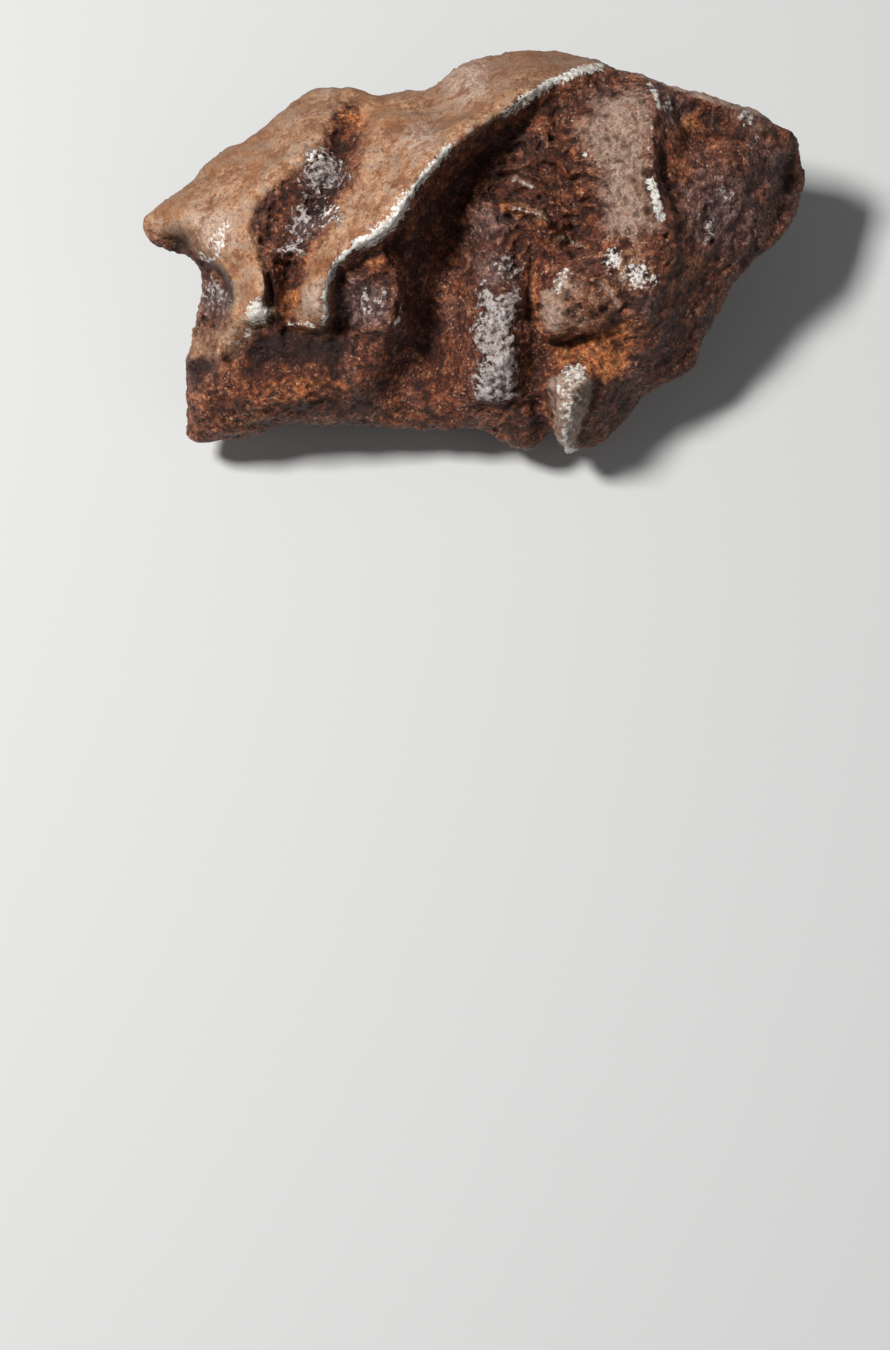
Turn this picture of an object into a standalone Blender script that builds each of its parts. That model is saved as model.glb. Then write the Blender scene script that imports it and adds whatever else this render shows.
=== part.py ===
"""A small iron meteorite: one natural lump of rusted iron, lying on the flat of its underside.

Units are metres and +Z is up. The lump is drawn in a frame of its own, the face frame, the way a surveyor
draws a hillside: u runs to the right, v runs up the hollowed face and w stands out of it, in millimetres.
Every crest, hollow and shoulder is a named line of (u, v, w) points. A smooth sheet passes through the
lines, a sphere is pulled over the sheet of the face and the sheet of the underside, and the lump is then
leant back and set down.
"""

import math

import bpy
import numpy as np
from mathutils import Matrix

MM = 0.001

# Driving dimensions
LENGTH = 27.0  # from the tip of the horn to the far end, in millimetres
DRAWN_LENGTH = 27.0  # the same length in the units of the lines below
LEAN = math.radians(22.0)  # how far the face is leant back from level
FACE_HEIGHT = 6.3  # from the rest up to the origin of the face frame

SEGMENTS = 360  # round the sphere that is pulled over the sheets
RINGS = 160
FACE_BROW = 9.0  # the higher the power, the nearer the face keeps its level to the silhouette
UNDERSIDE_BROW = 5.0
VOXEL = 0.16 * MM  # of the even skin laid over the pulled sphere
LUMP_SIZE = 1.5 * MM  # of the small lumps all over
LUMP_HEIGHT = 0.26 * MM
TRIANGLES = 9800
GROUND_DEPTH = 4 * MM
RUST_COLOUR = (0.16, 0.065, 0.035, 1)

# Silhouette of the face, clockwise from the tip of the horn
RIM = [
    (-13.5, 1.1, 0.2), (-13.3, 1.6, 0.0), (-12.3, 2.1, -0.3), (-11.4, 2.9, -0.6), (-10.7, 3.8, -0.9),
    (-10.0, 4.25, -1.2), (-9.2, 4.65, -1.3), (-8.3, 5.4, -1.4), (-7.1, 6.35, -1.6), (-6.1, 6.78, -1.6),
    (-5.1, 6.72, -1.4), (-3.8, 6.45, -0.9), (-2.4, 6.5, -0.7), (-1.75, 6.55, -0.6), (-1.1, 7.15, -0.8),
    (-0.2, 7.7, -1.0), (0.8, 7.93, -1.0), (2.0, 8.2, -0.9), (3.5, 8.18, -0.7), (4.7, 7.83, -0.5),
    (5.8, 7.45, -0.3), (7.2, 7.05, -0.2), (8.8, 6.5, -0.3), (10.3, 6.15, -0.5), (11.7, 5.65, -0.8),
    (12.8, 5.0, -1.2), (13.25, 4.8, -1.3), (13.55, 3.7, -1.7), (13.7, 2.75, -1.9), (13.3, 1.6, -1.6),
    (12.6, 0.5, -0.9), (11.5, -0.2, -0.7), (10.9, -0.95, -0.6), (10.2, -2.3, -0.6), (9.5, -3.6, -0.8),
    (8.9, -4.8, -0.9), (7.8, -5.4, -0.9), (6.9, -5.9, -0.9), (6.2, -6.9, -1.0), (5.5, -7.75, -1.2),
    (4.7, -8.0, -1.2), (4.1, -8.2, -0.4), (3.75, -8.15, -0.4), (3.45, -7.6, -0.6), (3.2, -7.1, -1.0),
    (3.05, -7.5, -1.2), (2.7, -7.9, -1.2), (2.1, -7.95, -1.2), (1.2, -7.65, -1.1), (0.1, -7.2, -0.9),
    (-1.5, -7.1, -0.8), (-3.2, -7.1, -0.8), (-5.0, -7.05, -0.9), (-6.8, -6.95, -1.0), (-8.0, -7.05, -1.1),
    (-9.2, -7.5, -1.3), (-10.7, -7.8, -1.4), (-11.6, -7.55, -1.3), (-11.7, -6.5, -1.0),
    (-11.6, -5.3, -0.8), (-11.65, -4.4, -0.7), (-11.35, -3.2, -0.6), (-11.1, -1.7, -0.6),
    (-11.0, -0.9, -0.5), (-11.3, -0.3, -0.3), (-12.1, -0.05, -0.2), (-13.0, 0.35, 0.0),
]

# Lines of the hollowed face. The first number is how broadly the sheet turns over the line.
FACE = {
    "long crest": (0.15, [
        (5.4, 7.5, 1.2), (4.5, 7.3, 1.8), (3.9, 7.05, 2.2), (3.0, 6.75, 2.6), (2.3, 6.35, 3.0),
        (1.4, 5.7, 3.4), (0.6, 5.2, 3.7), (-0.1, 4.7, 4.0), (-0.9, 4.1, 4.2), (-1.5, 3.5, 4.4),
        (-2.0, 2.9, 4.6), (-2.5, 2.2, 4.7), (-2.9, 1.6, 4.8), (-3.3, 1.0, 4.7), (-3.8, 0.55, 4.5),
        (-4.5, 0.3, 4.3), (-5.0, 0.0, 4.2), (-5.5, -0.5, 4.0), (-5.8, -1.1, 3.8), (-5.85, -1.8, 3.6),
        (-5.8, -2.5, 3.4), (-6.1, -3.0, 2.9),
    ]),
    "brink": (0.15, [
        (3.3, 6.35, 2.1), (2.0, 5.65, 2.6), (0.8, 4.8, 3.0), (-0.4, 3.95, 3.3), (-1.3, 3.0, 3.6),
        (-1.9, 2.1, 3.8), (-2.5, 1.2, 3.9), (-3.3, 0.4, 3.7), (-4.5, -0.1, 3.5), (-5.3, -0.8, 3.1),
        (-5.45, -1.8, 2.7), (-5.5, -2.7, 2.4),
    ]),
    "foot of the crest": (0.6, [
        (5.4, 6.5, 1.5), (4.6, 6.0, 1.7), (3.4, 5.4, 1.6), (2.3, 4.9, 1.4), (1.2, 4.4, 1.2),
        (0.3, 3.7, 1.1), (-0.4, 2.9, 1.1), (-1.0, 2.0, 1.2), (-1.5, 1.1, 1.5), (-2.1, 0.5, 1.9),
    ]),
    "main hollow": (0.9, [
        (1.3, 3.6, 0.9), (0.4, 2.7, 0.7), (-0.5, 1.6, 0.7), (-1.1, 0.4, 0.7), (-1.6, -0.8, 0.8),
        (-2.1, -2.2, 0.9), (-2.6, -3.6, 0.9), (-3.0, -5.0, 0.7), (-3.0, -6.2, 0.2),
    ]),
    "smooth shoulder": (0.6, [
        (-12.9, 1.2, 0.9), (-12.0, 1.3, 1.4), (-11.1, 1.7, 1.8), (-10.1, 2.1, 2.1), (-9.3, 2.2, 2.5),
        (-8.5, 2.6, 2.6), (-7.6, 3.2, 2.5), (-6.8, 3.8, 2.3), (-6.0, 4.5, 1.9), (-5.5, 5.2, 1.4),
    ]),
    "back of the shoulder": (1.2, [
        (-9.9, 3.2, 1.3), (-8.7, 4.0, 1.4), (-7.4, 5.0, 1.1), (-6.1, 5.9, 0.5), (-5.2, 6.1, 0.3),
    ]),
    "left hollow": (0.6, [
        (-4.5, 6.0, 0.3), (-4.9, 5.2, 0.9), (-5.3, 4.3, 1.4), (-6.1, 3.1, 1.7), (-6.9, 2.1, 1.8),
        (-7.4, 1.2, 1.8), (-7.7, 0.3, 1.8),
    ]),
    "slot": (0.2, [(-7.85, -0.6, 1.7), (-7.95, -1.3, 1.4), (-7.9, -2.0, 1.3), (-7.85, -2.7, 1.7)]),
    "left edge of the hollow": (0.35, [
        (-8.4, 1.9, 2.7), (-8.6, 1.1, 3.0), (-8.45, 0.2, 3.0), (-8.25, -0.6, 3.0), (-8.2, -1.4, 3.0),
        (-8.2, -2.3, 2.9),
    ]),
    "right edge of the hollow": (0.6, [
        (-4.1, 5.2, 1.5), (-4.5, 4.2, 2.2), (-5.1, 2.9, 2.6), (-5.8, 1.5, 2.8), (-6.4, 0.3, 2.8),
        (-7.1, -0.7, 2.4), (-7.2, -1.7, 2.3), (-7.0, -2.5, 2.4),
    ]),
    "slope to the crest": (1.0, [
        (-2.6, 5.9, 1.3), (-2.6, 4.6, 2.9), (-3.6, 3.2, 3.5), (-4.4, 1.8, 3.8), (-5.2, 0.6, 3.8),
        (-6.3, -0.8, 3.3), (-6.5, -2.2, 3.2),
    ]),
    "head of the crest": (1.0, [
        (-1.4, 6.2, 1.2), (-0.5, 6.9, 1.2), (0.3, 6.2, 2.4), (1.5, 7.0, 1.9), (2.6, 7.5, 1.5),
        (3.9, 7.6, 1.0), (-0.9, 5.2, 3.0),
    ]),
    "horn facet": (0.5, [(-10.9, 0.9, 2.0), (-10.3, 0.4, 2.6), (-9.9, 1.2, 2.5), (-9.5, 0.3, 3.0)]),
    "finger": (0.4, [
        (-9.1, -0.5, 3.1), (-9.0, -1.4, 3.15), (-8.85, -2.3, 3.15), (-9.0, -3.0, 2.9), (-9.4, -3.6, 2.5),
        (-9.9, -4.2, 2.0),
    ]),
    "overhang": (0.2, [
        (-11.1, 0.05, 1.4), (-10.6, -0.35, 2.1), (-10.15, -0.75, 2.5), (-9.85, -1.4, 2.6),
        (-9.8, -2.2, 2.5), (-10.0, -3.0, 2.1),
    ]),
    "side pocket": (0.3, [
        (-10.9, -0.8, 0.2), (-10.6, -1.3, 0.5), (-10.45, -2.0, 0.8), (-10.5, -2.8, 1.0),
        (-10.7, -3.6, 1.1),
    ]),
    "side pit": (0.4, [(-10.9, -4.6, 0.9)]),
    "under the horn": (0.4, [(-12.3, 0.4, 0.3), (-11.7, 0.2, 0.3)]),
    "step below the finger": (0.7, [
        (-8.4, -3.5, 2.4), (-7.3, -3.5, 2.3), (-6.2, -3.8, 2.2), (-8.9, -4.7, 1.7), (-7.3, -4.9, 1.5),
        (-5.6, -5.0, 1.4),
    ]),
    "foot lobe": (0.6, [
        (-10.7, -5.6, 1.6), (-9.3, -5.6, 1.9), (-7.9, -5.5, 2.0), (-6.6, -5.7, 1.7), (-5.2, -6.2, 1.1),
        (-10.3, -6.7, 1.0), (-8.6, -6.6, 1.1),
    ]),
    "small hollow": (0.6, [(-4.6, -0.6, 2.5), (-4.6, -1.6, 2.2), (-4.5, -2.6, 2.0), (-4.6, -3.6, 1.9)]),
    "spur": (0.35, [
        (-3.2, 0.3, 3.2), (-3.1, -0.6, 3.1), (-3.1, -1.6, 2.9), (-3.1, -2.6, 2.8), (-3.5, -3.4, 2.4),
        (-3.9, -4.3, 2.0), (-4.2, -5.5, 1.4),
    ]),
    "floor folds": (0.7, [
        (1.4, 2.7, 1.3), (2.4, 2.5, 1.5), (3.3, 2.1, 1.6), (2.4, 3.6, 1.6), (3.4, 4.2, 1.8),
        (4.3, 3.0, 2.1), (4.4, 1.4, 1.6), (4.3, 0.5, 1.7),
    ]),
    "fold": (0.3, [
        (1.1, 1.8, 2.0), (1.9, 1.75, 2.4), (2.6, 1.45, 2.6), (3.1, 1.0, 2.6), (3.3, 0.4, 2.3),
    ]),
    "middle rib": (0.8, [
        (0.6, 1.5, 1.7), (0.8, 0.3, 2.3), (1.1, -1.0, 2.8), (1.0, -2.4, 3.1), (0.9, -3.8, 3.1),
        (0.8, -5.2, 2.7), (0.2, -2.0, 2.7), (1.7, -2.0, 2.7), (0.1, -3.8, 2.7), (1.6, -3.8, 2.7),
    ]),
    "left of the rib": (0.6, [
        (-0.5, -0.4, 1.2), (-0.6, -2.0, 1.2), (-0.7, -3.6, 1.2), (-0.6, -5.2, 1.1),
    ]),
    "right of the rib": (0.3, [
        (2.2, 0.3, 1.8), (2.4, -1.0, 1.6), (2.4, -2.4, 1.4), (2.4, -3.8, 1.3), (2.4, -5.0, 1.2),
        (2.8, -5.8, 0.9),
    ]),
    "bottom lobe": (0.5, [
        (0.3, -6.3, 1.0), (1.5, -6.3, 1.3), (2.4, -6.5, 1.0), (1.7, -7.1, 0.6), (-1.6, -6.2, 0.6),
    ]),
    "pale slope": (1.0, [
        (5.4, 5.2, 2.1), (6.2, 5.7, 2.1), (6.0, 4.3, 2.6), (5.7, 3.0, 2.7), (5.8, 1.9, 2.8),
        (5.5, 0.8, 2.7), (6.1, 6.6, 1.5),
    ]),
    "right crest": (0.3, [
        (6.8, 6.8, 1.6), (7.2, 6.2, 2.2), (7.3, 5.6, 2.5), (7.1, 4.7, 2.9), (7.15, 3.9, 3.1),
        (7.15, 3.1, 3.3), (7.3, 2.3, 3.5), (7.5, 1.5, 3.5), (7.7, 0.7, 3.2), (7.4, -0.4, 3.1),
        (7.2, -1.4, 2.9), (6.8, -2.4, 2.6), (6.7, -3.6, 2.0), (6.6, -4.8, 1.4),
    ]),
    "right of the crest": (0.5, [
        (7.7, 5.0, 2.2), (7.75, 4.0, 2.3), (7.8, 3.0, 2.5), (8.2, 2.0, 2.6), (8.6, 0.8, 2.4),
        (8.3, -1.0, 2.1), (7.9, -2.6, 1.6),
    ]),
    "scoop": (0.5, [(8.5, 5.6, 0.7), (9.4, 5.3, -0.1), (10.2, 5.2, 0.0), (9.2, 4.7, 0.5)]),
    "brim of the scoop": (0.4, [
        (8.1, 6.3, 1.4), (9.3, 6.1, 1.1), (10.6, 5.6, 0.9), (8.2, 4.7, 1.9), (10.0, 4.1, 1.5),
    ]),
    "right face": (1.2, [
        (11.7, 4.7, 0.4), (11.3, 3.3, 0.9), (9.8, 2.4, 1.7), (11.3, 1.6, 0.8), (9.8, 0.7, 1.5),
        (10.4, -0.4, 0.7), (9.3, -1.8, 1.1), (8.7, -3.4, 0.6), (7.5, -4.5, 0.6), (12.4, 4.2, -0.2),
        (12.8, 2.9, -1.0), (12.3, 1.5, 0.0),
    ]),
    "knob": (0.6, [
        (3.5, -1.2, 2.9), (3.1, -2.2, 2.8), (3.2, -3.0, 2.6), (4.2, -1.8, 3.3), (5.3, -1.7, 3.2),
        (5.0, -2.6, 3.0), (6.0, -2.2, 2.9), (5.9, -0.6, 2.9), (3.9, -0.2, 2.3),
    ]),
    "under the knob": (0.3, [
        (3.0, -3.8, 1.4), (3.8, -3.75, 1.1), (4.7, -3.55, 1.1), (5.5, -3.6, 1.3), (6.2, -3.7, 1.5),
    ]),
    "rust hollow": (0.6, [
        (4.3, -4.3, 1.1), (5.2, -4.5, 1.3), (5.8, -5.6, 0.9), (5.2, -6.6, 0.6), (5.1, -7.2, 0.1),
    ]),
    "prong": (0.3, [
        (4.3, -4.8, 2.0), (3.4, -5.3, 2.1), (3.3, -6.2, 2.0), (3.45, -7.0, 1.6), (3.75, -7.7, 0.9),
        (4.6, -5.4, 2.1), (4.4, -6.3, 2.0), (4.1, -7.1, 1.5),
    ]),
    "gap beside the prong": (0.2, [(2.95, -6.0, 0.7), (3.0, -6.7, 0.1)]),
}

# Lines of the underside
UNDERSIDE = {
    "keel": (1.5, [
        (-12.4, 1.0, -1.8), (-10.6, 0.6, -3.9), (-8.0, 0.4, -5.8), (-5.0, 0.0, -6.9), (-2.0, 0.0, -7.4),
        (1.5, 0.4, -7.4), (5.0, 0.8, -7.1), (8.0, 1.4, -6.4), (10.6, 2.0, -5.5), (12.4, 2.6, -4.5),
    ]),
    "near flank": (1.5, [
        (-10.6, -3.4, -3.9), (-10.0, -6.2, -3.9), (-7.0, -3.0, -5.7), (-6.0, -6.0, -4.2),
        (-2.5, -3.6, -5.9), (-1.6, -6.0, -4.5), (2.4, -3.6, -5.8), (2.2, -6.6, -4.0), (5.6, -3.2, -5.5),
        (5.0, -6.4, -3.8), (8.4, -2.2, -4.9), (10.6, 0.0, -4.5),
    ]),
    "far flank": (1.5, [
        (-9.4, 3.4, -4.1), (-6.4, 3.6, -6.1), (-5.6, 5.8, -4.1), (-2.6, 3.6, -7.4), (-1.6, 5.6, -5.9),
        (1.6, 3.8, -7.7), (2.6, 6.6, -5.7), (5.6, 4.0, -7.0), (6.4, 6.0, -4.9), (9.0, 4.4, -5.4),
        (11.6, 4.6, -4.2),
    ]),
}

# Shallow thumbprints melted into the flanks and the underside: (u, v, w) on the skin, across, deep
THUMBPRINTS = [
    (-8.0, 5.0, -3.2, 3.4, 0.8), (-3.4, 6.2, -4.0, 3.8, 0.9), (1.4, 7.6, -4.0, 3.8, 0.9),
    (5.8, 6.8, -3.6, 3.4, 0.8), (10.0, 5.6, -3.6, 3.0, 0.6), (12.4, 1.6, -4.0, 2.8, 0.5),
    (9.6, -2.2, -3.4, 3.0, 0.7), (-0.8, 4.6, -6.9, 3.4, 0.7), (6.6, 4.4, -6.3, 3.2, 0.6),
    (6.4, -5.6, -3.6, 3.0, 0.7), (0.8, -6.6, -3.9, 3.2, 0.8), (-4.6, -6.4, -3.9, 3.2, 0.8),
    (-10.6, -5.0, -3.5, 3.0, 0.7), (-10.4, 1.4, -3.6, 3.2, 0.6), (-6.6, 3.6, -6.3, 3.2, 0.7),
]
CORE = (0.7, 0.4, -2.6)  # a thumbprint is pressed in towards this share of its u and v, at this w


class Sheet:
    """A smooth sheet through the points of some lines: a rounded cone on each point, and a tilted plane."""

    def __init__(self, lines):
        points = [(*point, rounding) for rounding, line in lines.values() for point in line]
        data = np.array(points)
        self.places = data[:, :2]
        self.rounding = data[:, 3]
        system = np.block([
            [self.cones(self.places), self.plane(self.places)],
            [self.plane(self.places).T, np.zeros((3, 3))],
        ])
        self.weights = np.linalg.solve(system, np.append(data[:, 2], np.zeros(3)))

    def cones(self, at):
        across = at[:, :1] - self.places[:, 0]
        up = at[:, 1:] - self.places[:, 1]
        return np.sqrt(across**2 + up**2 + self.rounding**2)

    def plane(self, at):
        return np.column_stack([np.ones(len(at)), at])

    def heights(self, at):
        return np.hstack([self.cones(at), self.plane(at)]) @ self.weights


def smooth_loop(points, steps=8):
    """Points along a smooth closed curve that passes through the given ones."""
    here = np.array(points)
    before = np.roll(here, 1, axis=0)
    after = np.roll(here, -1, axis=0)
    beyond = np.roll(here, -2, axis=0)
    loop = []
    for t in np.arange(steps) / steps:
        bend = 2 * before - 5 * here + 4 * after - beyond
        twist = 3 * here - before - 3 * after + beyond
        loop.append(here + ((after - before) * t + bend * t**2 + twist * t**3) / 2)
    return np.stack(loop, axis=1).reshape(-1, 3)


def brow(reach, power):
    """How much of a sheet's height is left at this share of the way out to the silhouette."""
    return np.sqrt(np.clip(1 - reach**power, 0, 1))


def press_thumbprints(points):
    """Presses the points near each thumbprint in towards the core of the lump."""
    pressed = points.copy()
    for *place, across, deep in THUMBPRINTS:
        core = np.array([place[0] * CORE[0], place[1] * CORE[1], CORE[2]])
        inward = (core - place) / np.linalg.norm(core - place)
        gap = np.linalg.norm(points - place, axis=1)
        pressed += np.exp(-((2 * gap / across) ** 2))[:, None] * inward * deep
    return pressed


def pull_over_sheets(ball):
    """Moves the points of a unit ball to the face on its upper half and the underside on its lower half."""
    loop = smooth_loop(RIM)
    bearing = np.mod(np.arctan2(loop[:, 1], loop[:, 0]), 2 * np.pi)
    loop = loop[np.argsort(bearing)]
    bearing = np.sort(bearing)

    reach = np.clip(np.hypot(ball[:, 0], ball[:, 1]), 0, 1)
    turn = np.mod(np.arctan2(ball[:, 1], ball[:, 0]), 2 * np.pi)
    edge = np.column_stack([np.interp(turn, bearing, loop[:, k], period=2 * np.pi) for k in range(3)])
    at = edge[:, :2] * reach[:, None]
    above = ball[:, 2] >= 0
    level = edge[:, 2].copy()
    rise = Sheet(FACE).heights(at[above]) - edge[above, 2]
    level[above] += rise * brow(reach[above], FACE_BROW)
    under = ~above
    sag = Sheet(UNDERSIDE).heights(at[under]) - edge[under, 2]
    level[under] += sag * brow(reach[under], UNDERSIDE_BROW)
    return press_thumbprints(np.column_stack([at, level]))


def add_lump():
    bpy.ops.mesh.primitive_uv_sphere_add(segments=SEGMENTS, ring_count=RINGS, radius=1)
    lump = bpy.context.object
    lump.name = "meteorite"
    points = pull_over_sheets(np.array([vert.co for vert in lump.data.vertices]))
    lump.data.vertices.foreach_set("co", (points * LENGTH / DRAWN_LENGTH * MM).ravel())
    lump.data.transform(Matrix.Rotation(LEAN, 4, "X"))
    lump.data.transform(Matrix.Translation((0, 0, FACE_HEIGHT * MM)))
    return lump


def roughen(lump):
    """Lays an even skin over the lump, raises small lumps on it and leaves flat facets."""
    skin = lump.modifiers.new("even skin", "REMESH")
    skin.mode = "VOXEL"
    skin.voxel_size = VOXEL
    noise = bpy.data.textures.new("small lumps", "CLOUDS")
    noise.noise_scale = LUMP_SIZE
    noise.noise_depth = 2
    lumps = lump.modifiers.new("small lumps", "DISPLACE")
    lumps.texture = noise
    lumps.strength = 2 * LUMP_HEIGHT
    soft = lump.modifiers.new("soft steps", "SMOOTH")
    soft.iterations = 1
    facets = lump.modifiers.new("facets", "DECIMATE")
    bpy.context.view_layer.objects.active = lump
    for modifier in (skin, lumps, soft):
        bpy.ops.object.modifier_apply(modifier=modifier.name)
    facets.ratio = TRIANGLES / (2 * len(lump.data.polygons))
    bpy.ops.object.modifier_apply(modifier=facets.name)


def move_to(obj, collection):
    for held in obj.users_collection:
        held.objects.unlink(obj)
    collection.objects.link(obj)


def grind_rest(lump, cutters):
    """Takes the lowest of the underside away at z = 0, which leaves the flat that the lump lies on."""
    bpy.ops.mesh.primitive_cube_add(size=1, scale=(2 * LENGTH * MM, 2 * LENGTH * MM, GROUND_DEPTH))
    ground = bpy.context.object
    ground.name = "ground"
    ground.location.z = -GROUND_DEPTH / 2
    ground.hide_render = True
    ground.display_type = "WIRE"
    move_to(ground, cutters)
    flat = lump.modifiers.new("flat to lie on", "BOOLEAN")
    flat.operation = "DIFFERENCE"
    flat.solver = "EXACT"
    flat.object = ground


def centre(lump):
    """Moves the lump so that the middle of its plan stands over the origin."""
    corners = np.array(lump.bound_box)
    across, up, _ = (corners.min(axis=0) + corners.max(axis=0)) / 2
    lump.data.transform(Matrix.Translation((-across, -up, 0)))


def paint(lump):
    rust = bpy.data.materials.new("rusted iron")
    rust.use_nodes = True
    shader = rust.node_tree.nodes["Principled BSDF"]
    shader.inputs["Base Color"].default_value = RUST_COLOUR
    shader.inputs["Metallic"].default_value = 0.35
    shader.inputs["Roughness"].default_value = 0.6
    lump.data.materials.append(rust)


def main():
    for obj in list(bpy.data.objects):
        bpy.data.objects.remove(obj)
    whole = bpy.data.collections.new("iron meteorite")
    cutters = bpy.data.collections.new("cutters")
    bpy.context.scene.collection.children.link(whole)
    bpy.context.scene.collection.children.link(cutters)
    lump = add_lump()
    move_to(lump, whole)
    roughen(lump)
    centre(lump)
    grind_rest(lump, cutters)
    paint(lump)


main()
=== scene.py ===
# %% [markdown]
# # A small iron meteorite
# The real thing is a lump of iron, 27 mm long, that was melted and scooped out on its way down and has
# rusted since. It has a long winding crest, deep hollows beside it, and a pointed horn at one end.
#
# The solid model gives its large forms as plain facets. Here the lump gets its skin: sharp edges,
# slots, folds and pits first, then rust, worn metal, painted shade and painted glints. Every length is in
# metres, so a millimetre is named once and used everywhere.

# %% Load the solid lump
import math

import bpy
import numpy as np
from mathutils import Matrix, Vector


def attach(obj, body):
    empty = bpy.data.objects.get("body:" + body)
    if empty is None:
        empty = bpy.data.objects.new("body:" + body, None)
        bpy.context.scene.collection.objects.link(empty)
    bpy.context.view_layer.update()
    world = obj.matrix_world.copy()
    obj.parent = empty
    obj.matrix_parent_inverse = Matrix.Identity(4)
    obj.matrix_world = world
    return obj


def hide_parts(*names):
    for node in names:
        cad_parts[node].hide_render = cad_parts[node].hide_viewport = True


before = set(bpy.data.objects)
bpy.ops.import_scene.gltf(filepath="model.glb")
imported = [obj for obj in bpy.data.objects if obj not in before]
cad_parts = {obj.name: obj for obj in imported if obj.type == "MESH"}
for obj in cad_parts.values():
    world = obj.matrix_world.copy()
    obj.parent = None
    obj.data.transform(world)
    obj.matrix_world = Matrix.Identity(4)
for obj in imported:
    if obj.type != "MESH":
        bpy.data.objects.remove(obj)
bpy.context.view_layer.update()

MM = 0.001
solid_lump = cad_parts["meteorite"]

# %% [markdown]
# ## The camera
# The lump lies with its hollowed face leant back 22 degrees. The camera looks almost straight down on
# that face from 150 mm, with a lens of about 99 mm, which keeps perspective gentle. The lump sits in
# the upper third of the frame, so the camera is aimed at a point below it.

# %% Camera
LEAN = math.radians(22.0)
FACE_ORIGIN = Vector((-0.143, -0.333, 6.3)) * MM
PICTURE_WIDTH, PICTURE_HEIGHT = 890, 1350
PIXELS_PER_MM = 24.74
EYE_IN_PIXELS = 3700  # distance from the eye to the face, in pixels of the frame
FACE_ACROSS, FACE_DOWN = 472.5, 253.0  # where the face's own zero lies in the frame

right_of_middle = (FACE_ACROSS - PICTURE_WIDTH / 2) / PIXELS_PER_MM * MM
above_middle = (PICTURE_HEIGHT / 2 - FACE_DOWN) / PIXELS_PER_MM * MM
pitch = math.pi / 2 - LEAN + math.atan((PICTURE_HEIGHT / 2 - FACE_DOWN) / EYE_IN_PIXELS)
ahead = Vector((0, math.cos(pitch), -math.sin(pitch)))
upward = Vector((0, math.sin(pitch), math.cos(pitch)))

camera = bpy.data.objects.new("camera", bpy.data.cameras.new("camera"))
bpy.context.scene.collection.objects.link(camera)
bpy.context.scene.camera = camera
camera.data.lens = camera.data.sensor_width * EYE_IN_PIXELS / PICTURE_HEIGHT
camera.data.clip_start = MM
camera.location = (FACE_ORIGIN - ahead * (EYE_IN_PIXELS / PIXELS_PER_MM * MM)
                   - Vector((right_of_middle, 0, 0)) - upward * above_middle)
camera.rotation_mode = "QUATERNION"
camera.rotation_quaternion = ahead.to_track_quat("-Z", "Y")
print(f"camera: lens {camera.data.lens:.1f} mm, pitch {math.degrees(pitch):.1f} degrees")

# %% [markdown]
# ## Floor and light
# One soft lamp high on the left rakes across the crest and leaves the hollow below it dark. A wide weak
# lamp in front keeps the dark places readable. The floor is a plain pale sheet.

# %% Floor, lamps and surroundings
def add_lamp(name, place, size, power):
    """A square lamp at a place in millimetres, turned towards the lump."""
    lamp = bpy.data.objects.new(name, bpy.data.lights.new(name, "AREA"))
    bpy.context.scene.collection.objects.link(lamp)
    lamp.data.size = size * MM
    lamp.data.energy = power
    lamp.location = Vector(place) * MM
    lamp.rotation_mode = "QUATERNION"
    lamp.rotation_quaternion = (FACE_ORIGIN - lamp.location).to_track_quat("-Z", "Y")
    return lamp


bpy.ops.object.select_all(action="DESELECT")
bpy.ops.mesh.primitive_plane_add(size=1.2, location=(0, 0, 0))
floor = bpy.context.object
floor.name = "floor"
floor_paint = bpy.data.materials.new("pale matt floor")
floor_paint.use_nodes = True
paint = floor_paint.node_tree.nodes["Principled BSDF"]
paint.inputs["Base Color"].default_value = (0.55, 0.55, 0.54, 1)
paint.inputs["Roughness"].default_value = 0.9
floor.data.materials.append(floor_paint)

key = add_lamp("key lamp", (-106, 8, 193), size=40, power=0.66)
fill = add_lamp("fill lamp", (120, -140, 190), size=200, power=0.06)
room = bpy.data.worlds.new("room")
room.use_nodes = True
sky = room.node_tree.nodes["Background"]
sky.inputs["Color"].default_value = (0.9, 0.95, 1.0, 1)
sky.inputs["Strength"].default_value = 0.12
bpy.context.scene.world = room
bpy.context.scene.view_settings.view_transform = "Standard"
print("lamps:", key.name, fill.name)

# %% [markdown]
# ## The lump on the bench
# The solid's facets are about half a millimetre across, too coarse for a skin. A copy is laid on a
# bench where its hollowed face looks straight up and one unit is a millimetre, so that a mark on the
# face is simply a place (u, v). Remesh lays an even skin of small squares over the copy, and Smooth
# takes the facets out of it. The solid itself stays as it is.

# %% Copy, turn onto the bench, and lay an even skin
TO_BENCH = Matrix.Scale(1 / MM, 4) @ Matrix.Rotation(-LEAN, 4, "X") @ Matrix.Translation(-FACE_ORIGIN)
FIRST_SKIN = 0.1  # side of one square of the skin, in millimetres
FINE_SKIN = 0.075

lump = bpy.data.objects.new("iron_lump", solid_lump.data.copy())
bpy.context.scene.collection.objects.link(lump)
bpy.ops.object.select_all(action="DESELECT")
lump.select_set(True)
bpy.context.view_layer.objects.active = lump
lump.data.transform(TO_BENCH)
bpy.ops.object.mode_set(mode="EDIT")
bpy.ops.mesh.select_all(action="SELECT")
bpy.ops.mesh.remove_doubles(threshold=0.001)
bpy.ops.object.mode_set(mode="OBJECT")


def apply(kind, **settings):
    """Adds a modifier of this kind to the lump, sets it and applies it."""
    modifier = lump.modifiers.new(kind.lower(), kind)
    for name, value in settings.items():
        setattr(modifier, name, value)
    bpy.ops.object.modifier_apply(modifier=modifier.name)


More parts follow.
